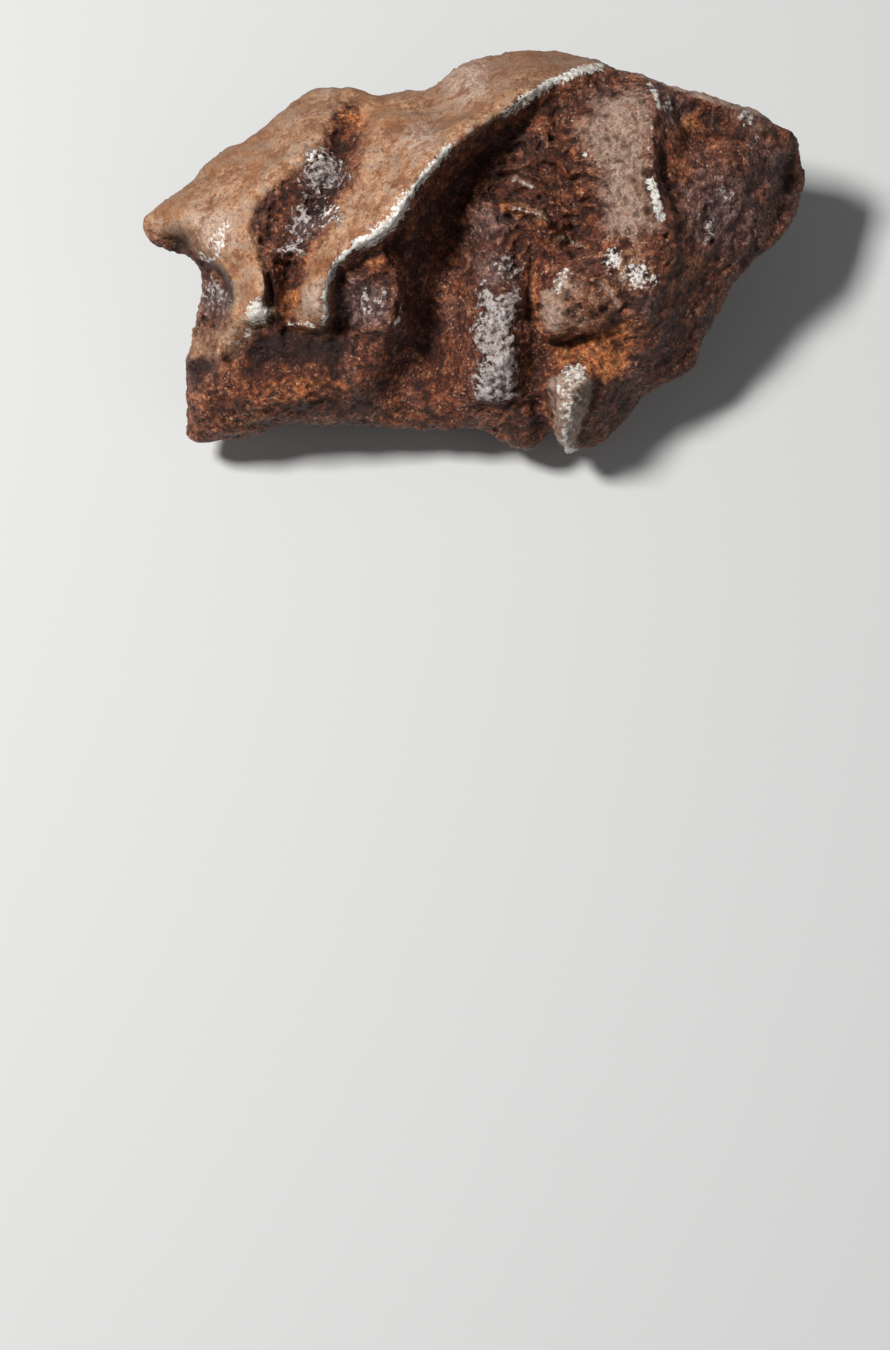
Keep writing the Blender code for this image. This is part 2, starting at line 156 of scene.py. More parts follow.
apply("REMESH", mode="VOXEL", voxel_size=FIRST_SKIN, adaptivity=0)
apply("SMOOTH", factor=0.5, iterations=10)
print("skin:", len(lump.data.vertices), "points")

# %% [markdown]
# ## Marks on the face
# A sculptor would now pick up a pinch brush for the crests and a chisel for the slots. The same strokes
# are given here as lines of (u, v) pegs with a rod bent round them. A stroke has its own width on the
# left and on the right of the way it runs, so a sharp lip is wide on one side and narrow on the other.
# Each stroke adds to one relief, which is then pushed out of the face in one go. Blender's Displace
# modifier does the pushing, with the relief as a vertex group, so the marks stay easy to move.

# %% Helpers for the rod of a stroke
def bent_rod(pegs, between=5):
    """Points of a smooth rod that passes through the pegs."""
    p = np.array(pegs, float)
    p = np.vstack([2 * p[0] - p[1], p, 2 * p[-1] - p[-2]])
    t = np.linspace(0, 1, between, endpoint=False)[:, None]
    parts = []
    for a, b, c, d in zip(p, p[1:], p[2:], p[3:]):
        bend = 2 * a - 5 * b + 4 * c - d + t * (3 * b - a - 3 * c + d)
        parts.append(b + 0.5 * t * (c - a + t * bend))
    return np.vstack(parts + [p[-2:-1]])


def beside(pegs, u, v):
    """How far each place is from the rod, above zero on its left, and how far along it, from 0 to 1."""
    rod = bent_rod(pegs)
    lengths = np.hypot(*np.diff(rod, axis=0).T)
    nearest = np.full(len(u), 1e6)
    signed = np.full(len(u), 1e6)
    along = np.zeros(len(u))
    for number, (start, end, length) in enumerate(zip(rod, rod[1:], lengths)):
        du, dv = (end - start) / length
        run = np.clip((u - start[0]) * du + (v - start[1]) * dv, 0, length)
        off_u = u - start[0] - run * du
        off_v = v - start[1] - run * dv
        apart = np.hypot(off_u, off_v)
        closer = apart < nearest
        nearest[closer] = apart[closer]
        signed[closer] = (apart * np.sign(du * off_v - dv * off_u))[closer]
        along[closer] = (lengths[:number].sum() + run[closer]) / lengths.sum()
    return signed, along


print("a rod through 3 pegs has", len(bent_rod([(0, 0), (1, 1), (2, 0)])), "points")


# %% Helpers for a stroke and a dent
def soft_step(x, low, high):
    """0 below low, 1 above high, and a smooth rise between."""
    t = np.clip((x - low) / (high - low), 0, 1)
    return t * t * (3 - 2 * t)


def stroke(u, v, pegs, left, right, height, aside=0.0, ends=0.12):
    """Height of one stroke at each place. aside moves its middle to the left of the rod."""
    amount = np.zeros(len(u))
    pegs_u, pegs_v = np.array(pegs).T
    reach = 3 * max(left, right) + abs(aside)
    near = ((u > pegs_u.min() - reach) & (u < pegs_u.max() + reach)
            & (v > pegs_v.min() - reach) & (v < pegs_v.max() + reach))
    off, along = beside(pegs, u[near], v[near])
    off = off - aside
    width = np.where(off > 0, left, right)
    tapered = soft_step(np.minimum(along, 1 - along), -0.01, ends)
    amount[near] = height * np.exp(-((off / width) ** 2)) * tapered
    return amount


def dent(u, v, middle, radius, height):
    """A round dent, or a bump where height is above zero."""
    return height * np.exp(-(((u - middle[0]) ** 2 + (v - middle[1]) ** 2) / radius ** 2))


print(f"one radius from its middle a dent keeps {dent(1, 0, (0, 0), 1, 1):.2f} of its depth")


# %% Helpers that read the lump's points and push them by a relief
def read_points():
    """Places (u, v, w) of the lump's points and the way each one faces."""
    count = len(lump.data.vertices)
    places = np.empty(count * 3, np.float32)
    lump.data.vertices.foreach_get("co", places)
    facing = np.empty(count * 3, np.float32)
    lump.data.vertex_normals.foreach_get("vector", facing)
    return places.reshape(-1, 3).astype(float), facing.reshape(-1, 3).astype(float)


def look_down():
    """Places u and v of the lump's points, how each one faces, and 1 where that is up at the eye."""
    points, facing = read_points()
    return points[:, 0], points[:, 1], facing, soft_step(facing[:, 2], -0.1, 0.3)


def weigh(name, weights):
    """Gives the lump a vertex group with these weights, from 0 to 1, in steps of 1/200."""
    group = lump.vertex_groups.new(name=name)
    levels = np.round(np.clip(weights, 0, 1) * 200).astype(int)
    for level in np.unique(levels[levels > 0]):
        group.add(np.flatnonzero(levels == level).tolist(), level / 200, "REPLACE")
    return group.name


def push(relief, name):
    """Displaces the lump by a relief in millimetres: first what is raised, then what is pressed in."""
    for sign, word in ((1, "raised"), (-1, "pressed")):
        part = np.clip(relief * sign, 0, None)
        if part.max() > 0:
            group = weigh(name + " " + word, part / part.max())
            apply("DISPLACE", vertex_group=group, strength=float(sign * part.max()), mid_level=0.0,
                  direction="Z")
    print(f"{name} from {relief.min():.2f} to {relief.max():.2f} mm")


def carve(relief, marks):
    """Adds strokes (pegs, left, right, height, aside, ends) or dents (middle, radius, height)."""
    for name, (where, *rest) in marks.items():
        if isinstance(where[0], tuple):
            relief = relief + stroke(u, v, where, *rest)
        else:
            relief = relief + dent(u, v, where, *rest)
    print("carved", ", ".join(marks))
    return relief


print("points that face the eye:", int((look_down()[3] > 0.5).sum()))

# %% [markdown]
# ### The long crest
# The crest is the lump's main line. Its upper side is a gentle slope, and on the other side it breaks
# off over the hollow, so its stroke is wide on the slope and narrow over the hollow. A second stroke
# beside it cuts the dark foot of the lip.

# %% Crest strokes
CREST = [(5.4, 7.5), (4.5, 7.3), (3.9, 7.05), (3.0, 6.75), (2.3, 6.35), (1.4, 5.7), (0.6, 5.2), (-0.1, 4.7),
         (-0.9, 4.1), (-1.5, 3.5), (-2.0, 2.9), (-2.5, 2.2), (-2.9, 1.6), (-3.3, 1.0), (-3.8, 0.55),
         (-4.5, 0.3), (-5.0, 0.0), (-5.5, -0.5), (-5.8, -1.1), (-5.85, -1.8), (-5.8, -2.5), (-6.1, -3.0)]

u, v, facing, face_side = look_down()
relief = carve(np.zeros(len(u)), {
    "lip of the crest": (CREST, 0.14, 0.45, 0.15, 0.0, 0.03),
    "floor of the left hollow": ([(-5.8, 4.2), (-6.4, 3.0), (-7.1, 1.6), (-7.4, 0.5), (-7.5, -0.4)],
                                 0.7, 0.6, 0.8),
    "foot of the wall": ([(3.4, 5.6), (2.3, 4.7), (1.2, 4.0), (0.4, 3.0), (0.0, 2.0), (-0.4, 0.8)],
                         0.8, 0.4, 0.7),
    "floor right of the rib": ([(2.6, 1.2), (2.4, -0.5), (2.4, -2.5), (2.7, -4.2)], 0.5, 0.5, 0.35),
    "swelling on the right face": ((9.7, 5.1), 0.9, 0.35),
    "floor of the cavity": ((4.8, -4.0), 1.0, 0.8),
    "groove under the lip": (CREST[6:19], 0.3, 0.22, -0.25, 0.55),
})

# %% [markdown]
# ### The left hollow, the horn and the finger
# Left of the crest lies a shallow hollow that ends below in a narrow slot. The horn hangs over a side
# pocket, and a rounded finger of metal comes down between pocket and slot and stops in a worn knob.

# %% Strokes on the left
relief = carve(relief, {
    "left lip": ([(-5.5, 4.3), (-7.1, 3.2), (-8.4, 2.3), (-8.9, 1.5), (-8.7, 0.2), (-8.3, -0.9)],
                 0.3, 0.45, 0.12),
    "right lip": ([(-4.3, 4.9), (-5.1, 2.6), (-6.3, 0.4), (-7.0, -0.9)], 0.3, 0.3, 0.1),
    "floor of the slot": ([(-7.8, 0.6), (-7.85, -0.7), (-7.85, -1.9), (-7.8, -3.2)],
                          0.55, 0.34, 1.7, 0.0, 0.4),
    "slot": ([(-8.25, -0.3), (-8.05, -1.2), (-8.0, -2.2), (-8.05, -2.9)], 0.1, 0.1, -0.45),
    "undercut of the horn": ([(-11.5, 0.05), (-11.1, -0.15), (-10.6, -0.55), (-10.1, -0.9), (-9.85, -1.6)],
                             0.1, 0.22, -0.55),
    "edge of the horn": ([(-11.2, 0.2), (-10.5, -0.25), (-9.9, -0.65), (-9.5, -1.5)], 0.25, 0.1, 0.16),
    "pit under the horn": ((-11.75, 0.3), 0.3, -0.45),
    "pit nearer its tip": ((-12.15, 0.5), 0.2, -0.22),
    "pit beside the pocket": ((-11.4, 0.05), 0.16, -0.2),
    "knob of the finger": ((-8.65, -2.45), 0.35, 0.22),
    "undercut of the finger": ([(-8.2, -2.9), (-8.7, -3.05), (-9.2, -3.5), (-9.6, -4.0), (-10.1, -4.3)],
                               0.1, 0.55, -0.6, 0.12),
    "large pit below the pocket": ((-10.9, -4.6), 0.22, -0.4),
    "pit right of it": ((-10.55, -4.45), 0.14, -0.3),
    "pit left of it": ((-11.3, -4.55), 0.2, -0.35),
    "pit above it": ((-11.0, -4.3), 0.12, -0.2),
    "pit at the outer edge": ((-11.6, -4.75), 0.14, -0.25),
})

# %% [markdown]
# ### The two spurs
# Two short teeth of metal hang from the crest with a small hollow between them. The upper one is
# undercut. Its stroke is narrow towards the edge and wide below it, which leaves a sharp black line.

# %% Strokes on the two spurs
relief = carve(relief, {
    "groove beside the upper spur": ([(-5.45, -0.5), (-5.45, -1.5), (-5.4, -2.6), (-5.6, -3.3)],
                                     0.2, 0.1, -0.35),
    "crown of the upper spur": ([(-6.9, -1.2), (-6.4, -1.5), (-6.2, -2.4)], 0.35, 0.3, 0.12),
    "undercut of the upper spur": ([(-7.7, -2.95), (-7.0, -2.9), (-6.5, -3.05), (-6.0, -3.2)],
                                   0.12, 0.6, -0.5, -0.2),
    "edge of the lower spur": ([(-3.0, 0.2), (-3.0, -0.8), (-2.95, -1.8), (-3.1, -2.6), (-3.5, -3.3)],
                               0.08, 0.35, 0.2),
    "floor of the small hollow": ([(-4.6, -0.8), (-4.2, -2.0), (-4.1, -3.4)], 0.7, 0.6, 0.7),
    "top of the small hollow": ([(-5.2, -0.9), (-4.2, -0.5), (-3.2, -0.1)], 0.45, 0.45, 0.75, 0.0, 0.12),
})

# %% [markdown]
# ### The main hollow and the middle rib
# The floor of the hollow is wrinkled in folds, one of them a pale ridge. Below it a rib of bare metal
# runs down and stops at a ledge.

# %% Strokes in the main hollow
relief = carve(relief, {
    "pale fold": ([(0.9, 1.85), (1.5, 1.75), (2.1, 1.65), (2.7, 1.4), (3.1, 0.95)], 0.22, 0.16, 0.5),
    "groove above it": ([(0.5, 2.3), (1.3, 2.15), (2.1, 2.05), (2.9, 1.8), (3.4, 1.2)], 0.14, 0.12, -0.36),
    "right groove": ([(2.5, 0.6), (2.35, -0.8), (2.3, -2.4), (2.6, -3.8)], 0.12, 0.14, -0.25),
    "ledge under the rib": ([(0.2, -6.0), (1.0, -6.05), (2.0, -5.95), (2.8, -6.1)], 0.1, 0.4, -0.32),
    "left side of the rib": ([(0.0, 1.2), (-0.1, -0.5), (0.0, -2.0), (-0.1, -4.0)], 0.12, 0.12, -0.12),
})

# %% [markdown]
# ### The right side
# A pale slope rises to a second crest. Below are a knob with an undercut, a cavity full of orange rust,
# and a prong that stands free at the lower edge. Two deep grooves set the prong free.

# %% Strokes on the right
relief = carve(relief, {
    "second crest": ([(7.0, 6.9), (7.4, 6.0), (7.1, 5.0), (7.15, 3.8), (7.25, 3.0), (7.4, 2.2), (7.7, 1.4)],
                     0.12, 0.3, 0.22),
    "groove under the second crest": ([(7.4, 4.2), (7.4, 3.0), (7.8, 2.0), (8.1, 1.4)], 0.2, 0.1, -0.22, 0.1),
    "ridge along the top": ([(8.1, 6.2), (8.9, 6.15), (9.8, 5.95), (10.7, 5.5)], 0.15, 0.12, 0.12),
    "edge of the knob": ([(3.1, -0.6), (3.5, -0.9), (3.4, -1.4), (3.0, -2.4), (2.95, -3.4)],
                         0.25, 0.15, 0.15),
    "undercut of the knob": ([(3.0, -3.55), (3.7, -3.55), (4.5, -3.3), (5.3, -3.15), (5.9, -3.2)],
                             0.08, 0.25, -0.3),
    "crease across the knob": ([(3.8, -2.6), (4.8, -2.5), (5.6, -2.1)], 0.12, 0.12, -0.15),
    "pit in the cavity": ((4.2, -4.2), 0.3, -0.15),
    "left side of the prong": ([(3.15, -5.6), (3.2, -6.3), (3.3, -7.0), (3.4, -7.8)], 0.08, 0.14, -0.45),
    "right side of the prong": ([(4.9, -5.3), (4.8, -6.0), (4.5, -6.8), (4.3, -7.7)], 0.16, 0.08, -0.4),
    "spine of the prong": ([(4.3, -4.8), (4.1, -5.6), (3.9, -6.6), (3.85, -7.7)], 0.3, 0.3, 0.15),
    "hollow at the blunt end": ((12.9, 2.95), 0.55, -0.3),
    "pit at the blunt end": ((12.6, 1.6), 0.35, -0.25),
    "dip under the top ridge": ((9.3, 5.5), 0.5, -0.12),
})

# %% [markdown]
# ### From drawing to shape
# The relief has only been added up so far. Displace now moves the skin by it, straight towards the eye
# and only where the skin faces the eye. That stretches the squares on steep walls, so Remesh lays a
# new and finer skin for the marks that follow.

# %% Push the strokes out of the face
push(relief * face_side, "strokes")
apply("REMESH", mode="VOXEL", voxel_size=FINE_SKIN, adaptivity=0)
apply("SMOOTH", factor=0.5, iterations=1)
print("skin:", len(lump.data.vertices), "points")

# %% [markdown]
# ## Folds and pits
# The finer skin can now carry finer marks: folds where molten crust has crept, round pits where gas or
# rust has eaten in, and a few ring-shaped pits with a raised rim. The pits of one area are scattered by
# a generator with a fixed seed, so that the lump comes out the same every time. A texture could give
# pits too, but not this mixture of sizes with a clean edge.

# %% Outlines of the areas that folds, pits and finishes keep to
SKIN_OUTLINE = [
    (-13.9, 1.1), (-12.5, 2.8), (-10.5, 5.2), (-7.0, 7.8), (-3.0, 7.5), (-1.0, 8.6), (3.0, 9.2), (5.6, 8.1),
    (5.5, 7.45), (4.2, 7.2), (3.0, 6.7), (2.2, 6.2), (1.3, 5.5), (0.5, 5.1), (-0.9, 4.1), (-2.0, 2.9),
    (-2.9, 1.6), (-3.8, 0.6), (-5.0, 0.05), (-5.6, -0.7), (-5.9, -2.9), (-6.9, -2.9), (-7.2, -2.2),
    (-6.8, -0.9), (-6.3, 0.2), (-5.6, 1.8), (-4.9, 3.0), (-4.4, 4.4), (-4.8, 5.9), (-5.7, 5.5), (-6.0, 4.3),
    (-7.1, 3.3), (-8.4, 2.3), (-8.9, 1.4), (-8.6, 0.1), (-8.25, -1.2), (-8.3, -2.7), (-8.8, -3.1),
    (-9.5, -3.8), (-10.0, -3.7), (-9.9, -2.7), (-9.8, -1.6), (-10.3, -0.8), (-11.1, -0.2), (-12.2, 0.7),
    (-13.4, 0.4)]
LEFT_HOLLOW = [(-5.2, 5.9), (-4.6, 4.6), (-5.0, 3.0), (-5.8, 1.6), (-6.5, 0.2), (-7.1, -1.0), (-8.0, -1.0),
               (-8.5, 0.2), (-8.8, 1.4), (-8.3, 2.2), (-7.0, 3.2), (-6.0, 4.2)]
SMALL_HOLLOW = [(-5.2, -0.7), (-3.2, -0.3), (-3.1, -3.0), (-4.0, -4.4), (-5.3, -3.6)]
SIDE_POCKET = [(-11.2, -0.5), (-10.4, -0.7), (-9.8, -1.6), (-9.8, -3.0), (-10.6, -3.3), (-11.5, -3.2)]
HOLLOW_FLOOR = [(-0.4, 1.0), (-0.1, 2.6), (0.8, 4.2), (2.4, 4.9), (4.2, 4.6), (4.6, 3.2), (4.9, 1.6),
                (5.0, 0.2), (3.9, -0.4), (2.7, 0.4), (1.6, 0.9)]
MIDDLE_RIB = [(0.0, 1.3), (2.1, 1.0), (2.2, -6.0), (0.0, -6.0)]
SILVER_RIB = [(0.1, -1.5), (0.6, -1.2), (1.1, -1.8), (1.7, -1.4), (1.9, -2.4), (1.6, -3.4), (1.9, -4.4),
              (1.7, -5.3), (1.7, -5.95), (0.3, -6.0), (0.1, -5.2), (0.3, -4.2), (-0.1, -3.2), (0.3, -2.4)]
PALE_SLOPE = [(4.9, 6.4), (6.6, 6.7), (7.2, 6.4), (7.3, 5.4), (7.1, 4.4), (7.2, 3.2), (7.5, 1.9), (7.7, 1.0),
              (7.0, 0.6), (6.2, 0.4), (5.3, 0.8), (4.9, 1.8), (5.0, 3.0), (4.3, 4.2), (3.8, 4.9), (4.4, 5.6)]
KNOB = [(3.0, -0.5), (3.9, -0.4), (5.0, -0.7), (6.0, -1.2), (6.6, -2.0), (6.5, -2.7), (5.4, -3.0),
        (4.2, -3.3), (3.0, -3.7), (2.8, -2.6), (2.9, -1.4)]
CAVITY = [(3.4, -3.7), (4.4, -3.4), (5.3, -3.1), (6.2, -2.6), (6.6, -3.2), (6.4, -4.3), (6.0, -5.0),
          (5.2, -5.3), (4.7, -4.8), (4.2, -4.4), (3.6, -4.6), (3.2, -4.2)]
PRONG = [(3.1, -5.1), (3.6, -4.9), (4.1, -4.6), (4.5, -4.8), (4.9, -5.5), (4.7, -6.4), (4.4, -7.2),
         (4.3, -8.3), (3.6, -8.4), (3.4, -7.6), (3.3, -6.8), (3.1, -6.0)]
FOOT = [(-12.2, -5.2), (-9.8, -5.1), (-7.5, -4.8), (-5.8, -5.0), (-4.5, -5.4), (-5.5, -6.1), (-7.6, -6.7),
        (-8.8, -7.9), (-12.2, -8.4)]
RIGHT_FACE = [(7.6, 7.2), (10.0, 6.6), (13.0, 5.2), (14.0, 3.0), (11.0, -1.0), (9.0, -5.0), (7.0, -4.6),
              (7.4, -1.5), (8.0, 1.0), (7.4, 3.4)]
print("13 outlines, the largest with", len(SKIN_OUTLINE), "corners")


# %% Helpers for folds, areas and pits
def wrinkles(u, v, degrees, spacing, height):
    """Wavy folds with round tops and sharp valleys that run at an angle to the u axis."""
    turn = math.radians(degrees)
    along = u * math.cos(turn) + v * math.sin(turn)
    across = v * math.cos(turn) - u * math.sin(turn)
    across = (across + 0.2 * np.sin(1.9 * along + 0.8 * across)
              + 0.12 * np.sin(4.3 * along - 2.1 * across + 1.0))
    across = across + 0.05 * np.sin(9.7 * along + 3.0)
    strength = 0.65 + 0.35 * np.sin(2.3 * along + 3.1 * across)
    return height * strength * (np.abs(np.sin(math.pi * across / spacing)) - 0.6)


def patch(u, v, outline, edge=0.3):
    """1 inside an outline and 0 outside it, with a soft edge of this width."""
    ring = list(outline) + [outline[0]]
    apart = np.abs(beside(ring, u, v)[0])
    inside = np.zeros(len(u), bool)
    rod = bent_rod(ring)
    for (start_u, start_v), (end_u, end_v) in zip(rod, rod[1:]):
        if start_v != end_v:
            crosses = (start_v > v) != (end_v > v)
            inside ^= crosses & (u < start_u + (v - start_v) * (end_u - start_u) / (end_v - start_v))
    return soft_step(np.where(inside, apart, -apart), -edge, edge)


def scatter_pits(u, v, outline, count, smallest, largest, steepness, seed):
    """Round pits of mixed sizes inside an outline. Depth is the radius times the steepness."""
    chance = np.random.default_rng(seed)
    low, high = np.min(outline, axis=0), np.max(outline, axis=0)
    middles = chance.uniform(low, high, (count, 2))
    radii = smallest * (largest / smallest) ** chance.uniform(0, 1, count)
    inside = patch(middles[:, 0], middles[:, 1], outline, 0.1)
    depth = np.zeros(len(u))
    for (middle_u, middle_v), radius, kept in zip(middles, radii, inside):
        near = (np.abs(u - middle_u) < 3 * radius) & (np.abs(v - middle_v) < 3 * radius)
        squared = ((u[near] - middle_u) ** 2 + (v[near] - middle_v) ** 2) / radius ** 2
        shape = np.exp(-squared ** 1.5) - 0.25 * np.exp(-((np.sqrt(squared) - 1.5) ** 2) / 0.2)
        depth[near] = np.minimum(depth[near], -kept * steepness * radius * shape)
    return depth


print("points on the hollow's floor:", int((patch(*look_down()[:2], HOLLOW_FLOOR) > 0.5).sum()))

# %% Which folds and pits
WRINKLES = [  # angle in degrees, spacing, height, area, soft edge of the area
    (-22, 0.62, 0.34, HOLLOW_FLOOR, 0.6),
    (35, 0.41, 0.12, HOLLOW_FLOOR, 0.6),
    (78, 0.55, 0.14, MIDDLE_RIB, 0.4),
    (15, 0.42, 0.16, MIDDLE_RIB, 0.4),
    (-35, 0.38, 0.16, PRONG, 0.3),
    (12, 0.45, 0.14, FOOT, 0.5),
    (72, 0.5, 0.08, PALE_SLOPE, 0.5),
    (65, 0.5, 0.12, SMALL_HOLLOW, 0.4),
    (62, 0.7, 0.1, RIGHT_FACE, 0.8),
    (-40, 0.52, 0.2, CAVITY, 0.3),
    (25, 0.6, 0.14, KNOB, 0.4),
]
PITS = [  # area, how many, smallest and largest radius, steepness
    (LEFT_HOLLOW, 700, 0.06, 0.14, 1.1),
    (SIDE_POCKET, 170, 0.06, 0.14, 1.0),
    (HOLLOW_FLOOR, 130, 0.06, 0.13, 0.8),
    (SILVER_RIB, 60, 0.06, 0.12, 0.45),
    (PALE_SLOPE, 70, 0.06, 0.15, 0.55),
    (SKIN_OUTLINE, 420, 0.05, 0.12, 0.35),
    (RIGHT_FACE, 130, 0.08, 0.24, 0.4),
    (KNOB, 60, 0.07, 0.2, 0.6),
    (FOOT, 60, 0.06, 0.14, 0.4),
]
RING_PITS = [  # u, v, radius
    (6.2, 0.83, 0.16), (5.56, -0.74, 0.19), (9.6, 0.45, 0.17), (6.9, -0.9, 0.15), (0.97, -7.15, 0.16),
    (5.85, -3.85, 0.26), (6.7, 5.95, 0.15), (7.65, 0.67, 0.13), (6.45, 1.5, 0.12),
]
FOLD_RIDGES = [  # height, pegs: the first four in the main hollow, the last two on the knob
    (0.26, [(0.7, 3.2), (1.5, 3.35), (2.3, 3.1), (3.2, 2.6)]),
    (0.28, [(1.5, 2.9), (1.75, 2.6), (2.1, 2.8), (2.6, 2.55), (3.3, 2.0)]),
    (0.22, [(2.6, 3.8), (3.4, 3.5), (4.0, 2.9)]),
    (0.24, [(3.0, 2.2), (3.7, 1.7), (4.3, 1.5)]),
    (0.14, [(3.9, -0.7), (4.6, -1.0), (5.2, -1.0), (5.7, -1.6), (6.0, -2.1)]),
    (0.16, [(3.4, -2.3), (4.2, -1.9), (4.8, -2.2), (5.4, -2.6)]),
]
print(len(WRINKLES), "sets of wrinkles,", sum(row[1] for row in PITS), "pits,", len(RING_PITS), "ring pits")

# %% Cut the folds and pits
u, v, facing, face_side = look_down()
relief = np.zeros(len(u))
for degrees, spacing, height, area, edge in WRINKLES:
    relief += wrinkles(u, v, degrees, spacing, height) * patch(u, v, area, edge)
for seed, (area, count, smallest, largest, steepness) in enumerate(PITS, 1):
    relief += scatter_pits(u, v, area, count, smallest, largest, steepness, seed)
for middle_u, middle_v, radius in RING_PITS:
    raised_rim = dent(u, v, (middle_u, middle_v), radius * 1.6, 0.12)
    relief += raised_rim + dent(u, v, (middle_u, middle_v), radius * 0.85, -0.34)
for height, pegs in FOLD_RIDGES:
    groove_beside = stroke(u, v, pegs, 0.1, 0.1, height * 0.7, aside=-0.26)
    relief += stroke(u, v, pegs, 0.12, 0.14, height) - groove_beside
push(relief * face_side, "folds and pits")

# %% [markdown]
# ## Rough and smooth skin
# The slopes round the crest are worn almost smooth, and rust has lifted the hollows, the foot and the
# right face into crumbs and pits. Where it is rough is drawn once, as broad strokes, and each Displace
# modifier then uses a procedural texture only as far as that drawing allows.

# %% Where the skin is rough
u, v, facing, face_side = look_down()
calm = patch(u, v, SKIN_OUTLINE, 0.5) + 0.55 * patch(u, v, PALE_SLOPE, 0.5) + 0.6 * patch(u, v, KNOB, 0.4)
calm += 0.5 * patch(u, v, SILVER_RIB, 0.4) + 0.3 * patch(u, v, PRONG, 0.3)
calm += 0.35 * patch(u, v, RIGHT_FACE, 0.8)
calm *= face_side
rough = 1 - 0.88 * np.clip(calm, 0, 1)
weigh("rough", rough)
weigh("hidden side", soft_step(-facing[:, 2], -0.1, 0.4))
weigh("everywhere", np.ones(len(u)))
print(f"smooth share of the face: {calm.sum() / face_side.sum():.2f}")


# %% Textures that roughen the skin
def crumbs(name, size, height, group, **settings):
    """Displaces the lump out of its own surface by clouds of this size, in millimetres."""
    texture = bpy.data.textures.new(name, "CLOUDS")
    texture.noise_scale = size
    for setting, value in settings.items():
        setattr(texture, setting, value)
    apply("DISPLACE", texture=texture, texture_coords="LOCAL", vertex_group=group, strength=height,
          mid_level=0.5)
    print(name, size, "mm across,", height, "mm high")


crumbs("thumb marks", 2.4, 0.5, "hidden side", noise_depth=1)
crumbs("swellings", 1.3, 0.15, "rough", noise_depth=2)
crumbs("rust crust", 0.55, 0.17, "rough", noise_depth=3, noise_type="HARD_NOISE")
crumbs("fine crumbs", 0.24, 0.08, "rough", noise_depth=2, noise_type="HARD_NOISE")
crumbs("worn grain", 0.35, 0.05, "everywhere", noise_depth=3)

# %% [markdown]
# ## Back to its place
# The lump goes back to metres and leans back as it was. A flat stays ground on its underside, so no
# point may lie below the table. Decimate then brings it under 190,000 triangles, which it takes from
# the calmer places.

# %% Turn back, keep the rest flat, thin the mesh
TRIANGLES = 188000
lump.vertex_groups.clear()
lump.data.transform(TO_BENCH.inverted())
for vertex in lump.data.vertices:
    vertex.co.z = max(vertex.co.z, 0.0)
lump.data.calc_loop_triangles()
apply("DECIMATE", ratio=min(1.0, TRIANGLES / len(lump.data.loop_triangles)), use_collapse_triangulate=True)
bpy.ops.object.shade_smooth()
print("lump:", len(lump.data.polygons), "triangles")

# %% [markdown]
# ## Where each finish lies
# Rust keeps its colours in places: grey metal shows where the crust has flaked off, orange powder
# fills a cavity, the crests are rubbed to pale metal, and slopes wear a smooth brown skin. Each finish
# gets a mask on the lump's own points, drawn with the same strokes and spots as the relief. The masks
# have soft edges on purpose: the material breaks them up with noise later.

# %% Read the finished lump
lump.data.transform(TO_BENCH)
points, facing = read_points()
lump.data.transform(TO_BENCH.inverted())
face_side = soft_step(facing[:, 2], -0.05, 0.25)
EYE = 150.5  # height of the eye over the face, in millimetres: u and v are read along its lines of sight
u = points[:, 0] * EYE / (EYE - points[:, 2])
v = points[:, 1] * EYE / (EYE - points[:, 2])
print(f"face side: {face_side.mean():.2f} of the points")


# %% Helper that measures how hollow or proud each place is
def hollowness(rounds):
    """How far each point lies below the mean of its neighbourhood, in millimetres. Below zero is proud."""
    edges = np.empty(len(lump.data.edges) * 2, np.int32)
    lump.data.edges.foreach_get("vertices", edges)
    a, b = edges.reshape(-1, 2).T
    neighbours = np.bincount(a, minlength=len(points)) + np.bincount(b, minlength=len(points))
    evened = points.copy()
    for _ in range(rounds):
        total = np.empty_like(evened)
        for axis in range(3):
            total[:, axis] = (np.bincount(a, evened[b, axis], len(points))
                              + np.bincount(b, evened[a, axis], len(points)))
        evened = 0.5 * evened + 0.5 * total / neighbours[:, None]
    return ((evened - points) * facing).sum(axis=1)


fine_hollow = hollowness(8)
broad_hollow = hollowness(120)
print(f"fine hollows {fine_hollow.std():.3f} mm, broad {broad_hollow.std():.3f} mm")


# %% Helpers that draw a mask and keep it on the lump
def keep_mask(name, mask):
    """Stores a mask from 0 to 1 as an attribute of the lump's points."""
    mask = np.clip(mask, 0, 1).astype(np.float32)
    lump.data.attributes.new(name, "FLOAT", "POINT").data.foreach_set("value", mask)
    print(f"mask {name} covers {mask.mean():.1%}")


def draw(lines=(), spots=()):
    """The strongest of these lines (width, strength, pegs) and spots (u, v, radius, strength)."""
    mask = np.zeros(len(u))
    for width, strength, pegs in lines:
        mask = np.maximum(mask, stroke(u, v, pegs, width, width, strength, ends=0.08))
    for middle_u, middle_v, radius, strength in spots:
        mask = np.maximum(mask, dent(u, v, (middle_u, middle_v), radius, strength))
    return mask * face_side


# %% [markdown]
# ### Metal
# Handling and sand have rubbed the crests down to pale metal. Elsewhere the crust has come off in
# flakes and shows grey metal with rust still in its grain. Sharpness alone would put metal on every
# crumb, so each worn line is drawn where it is and sharpness only makes it uneven.

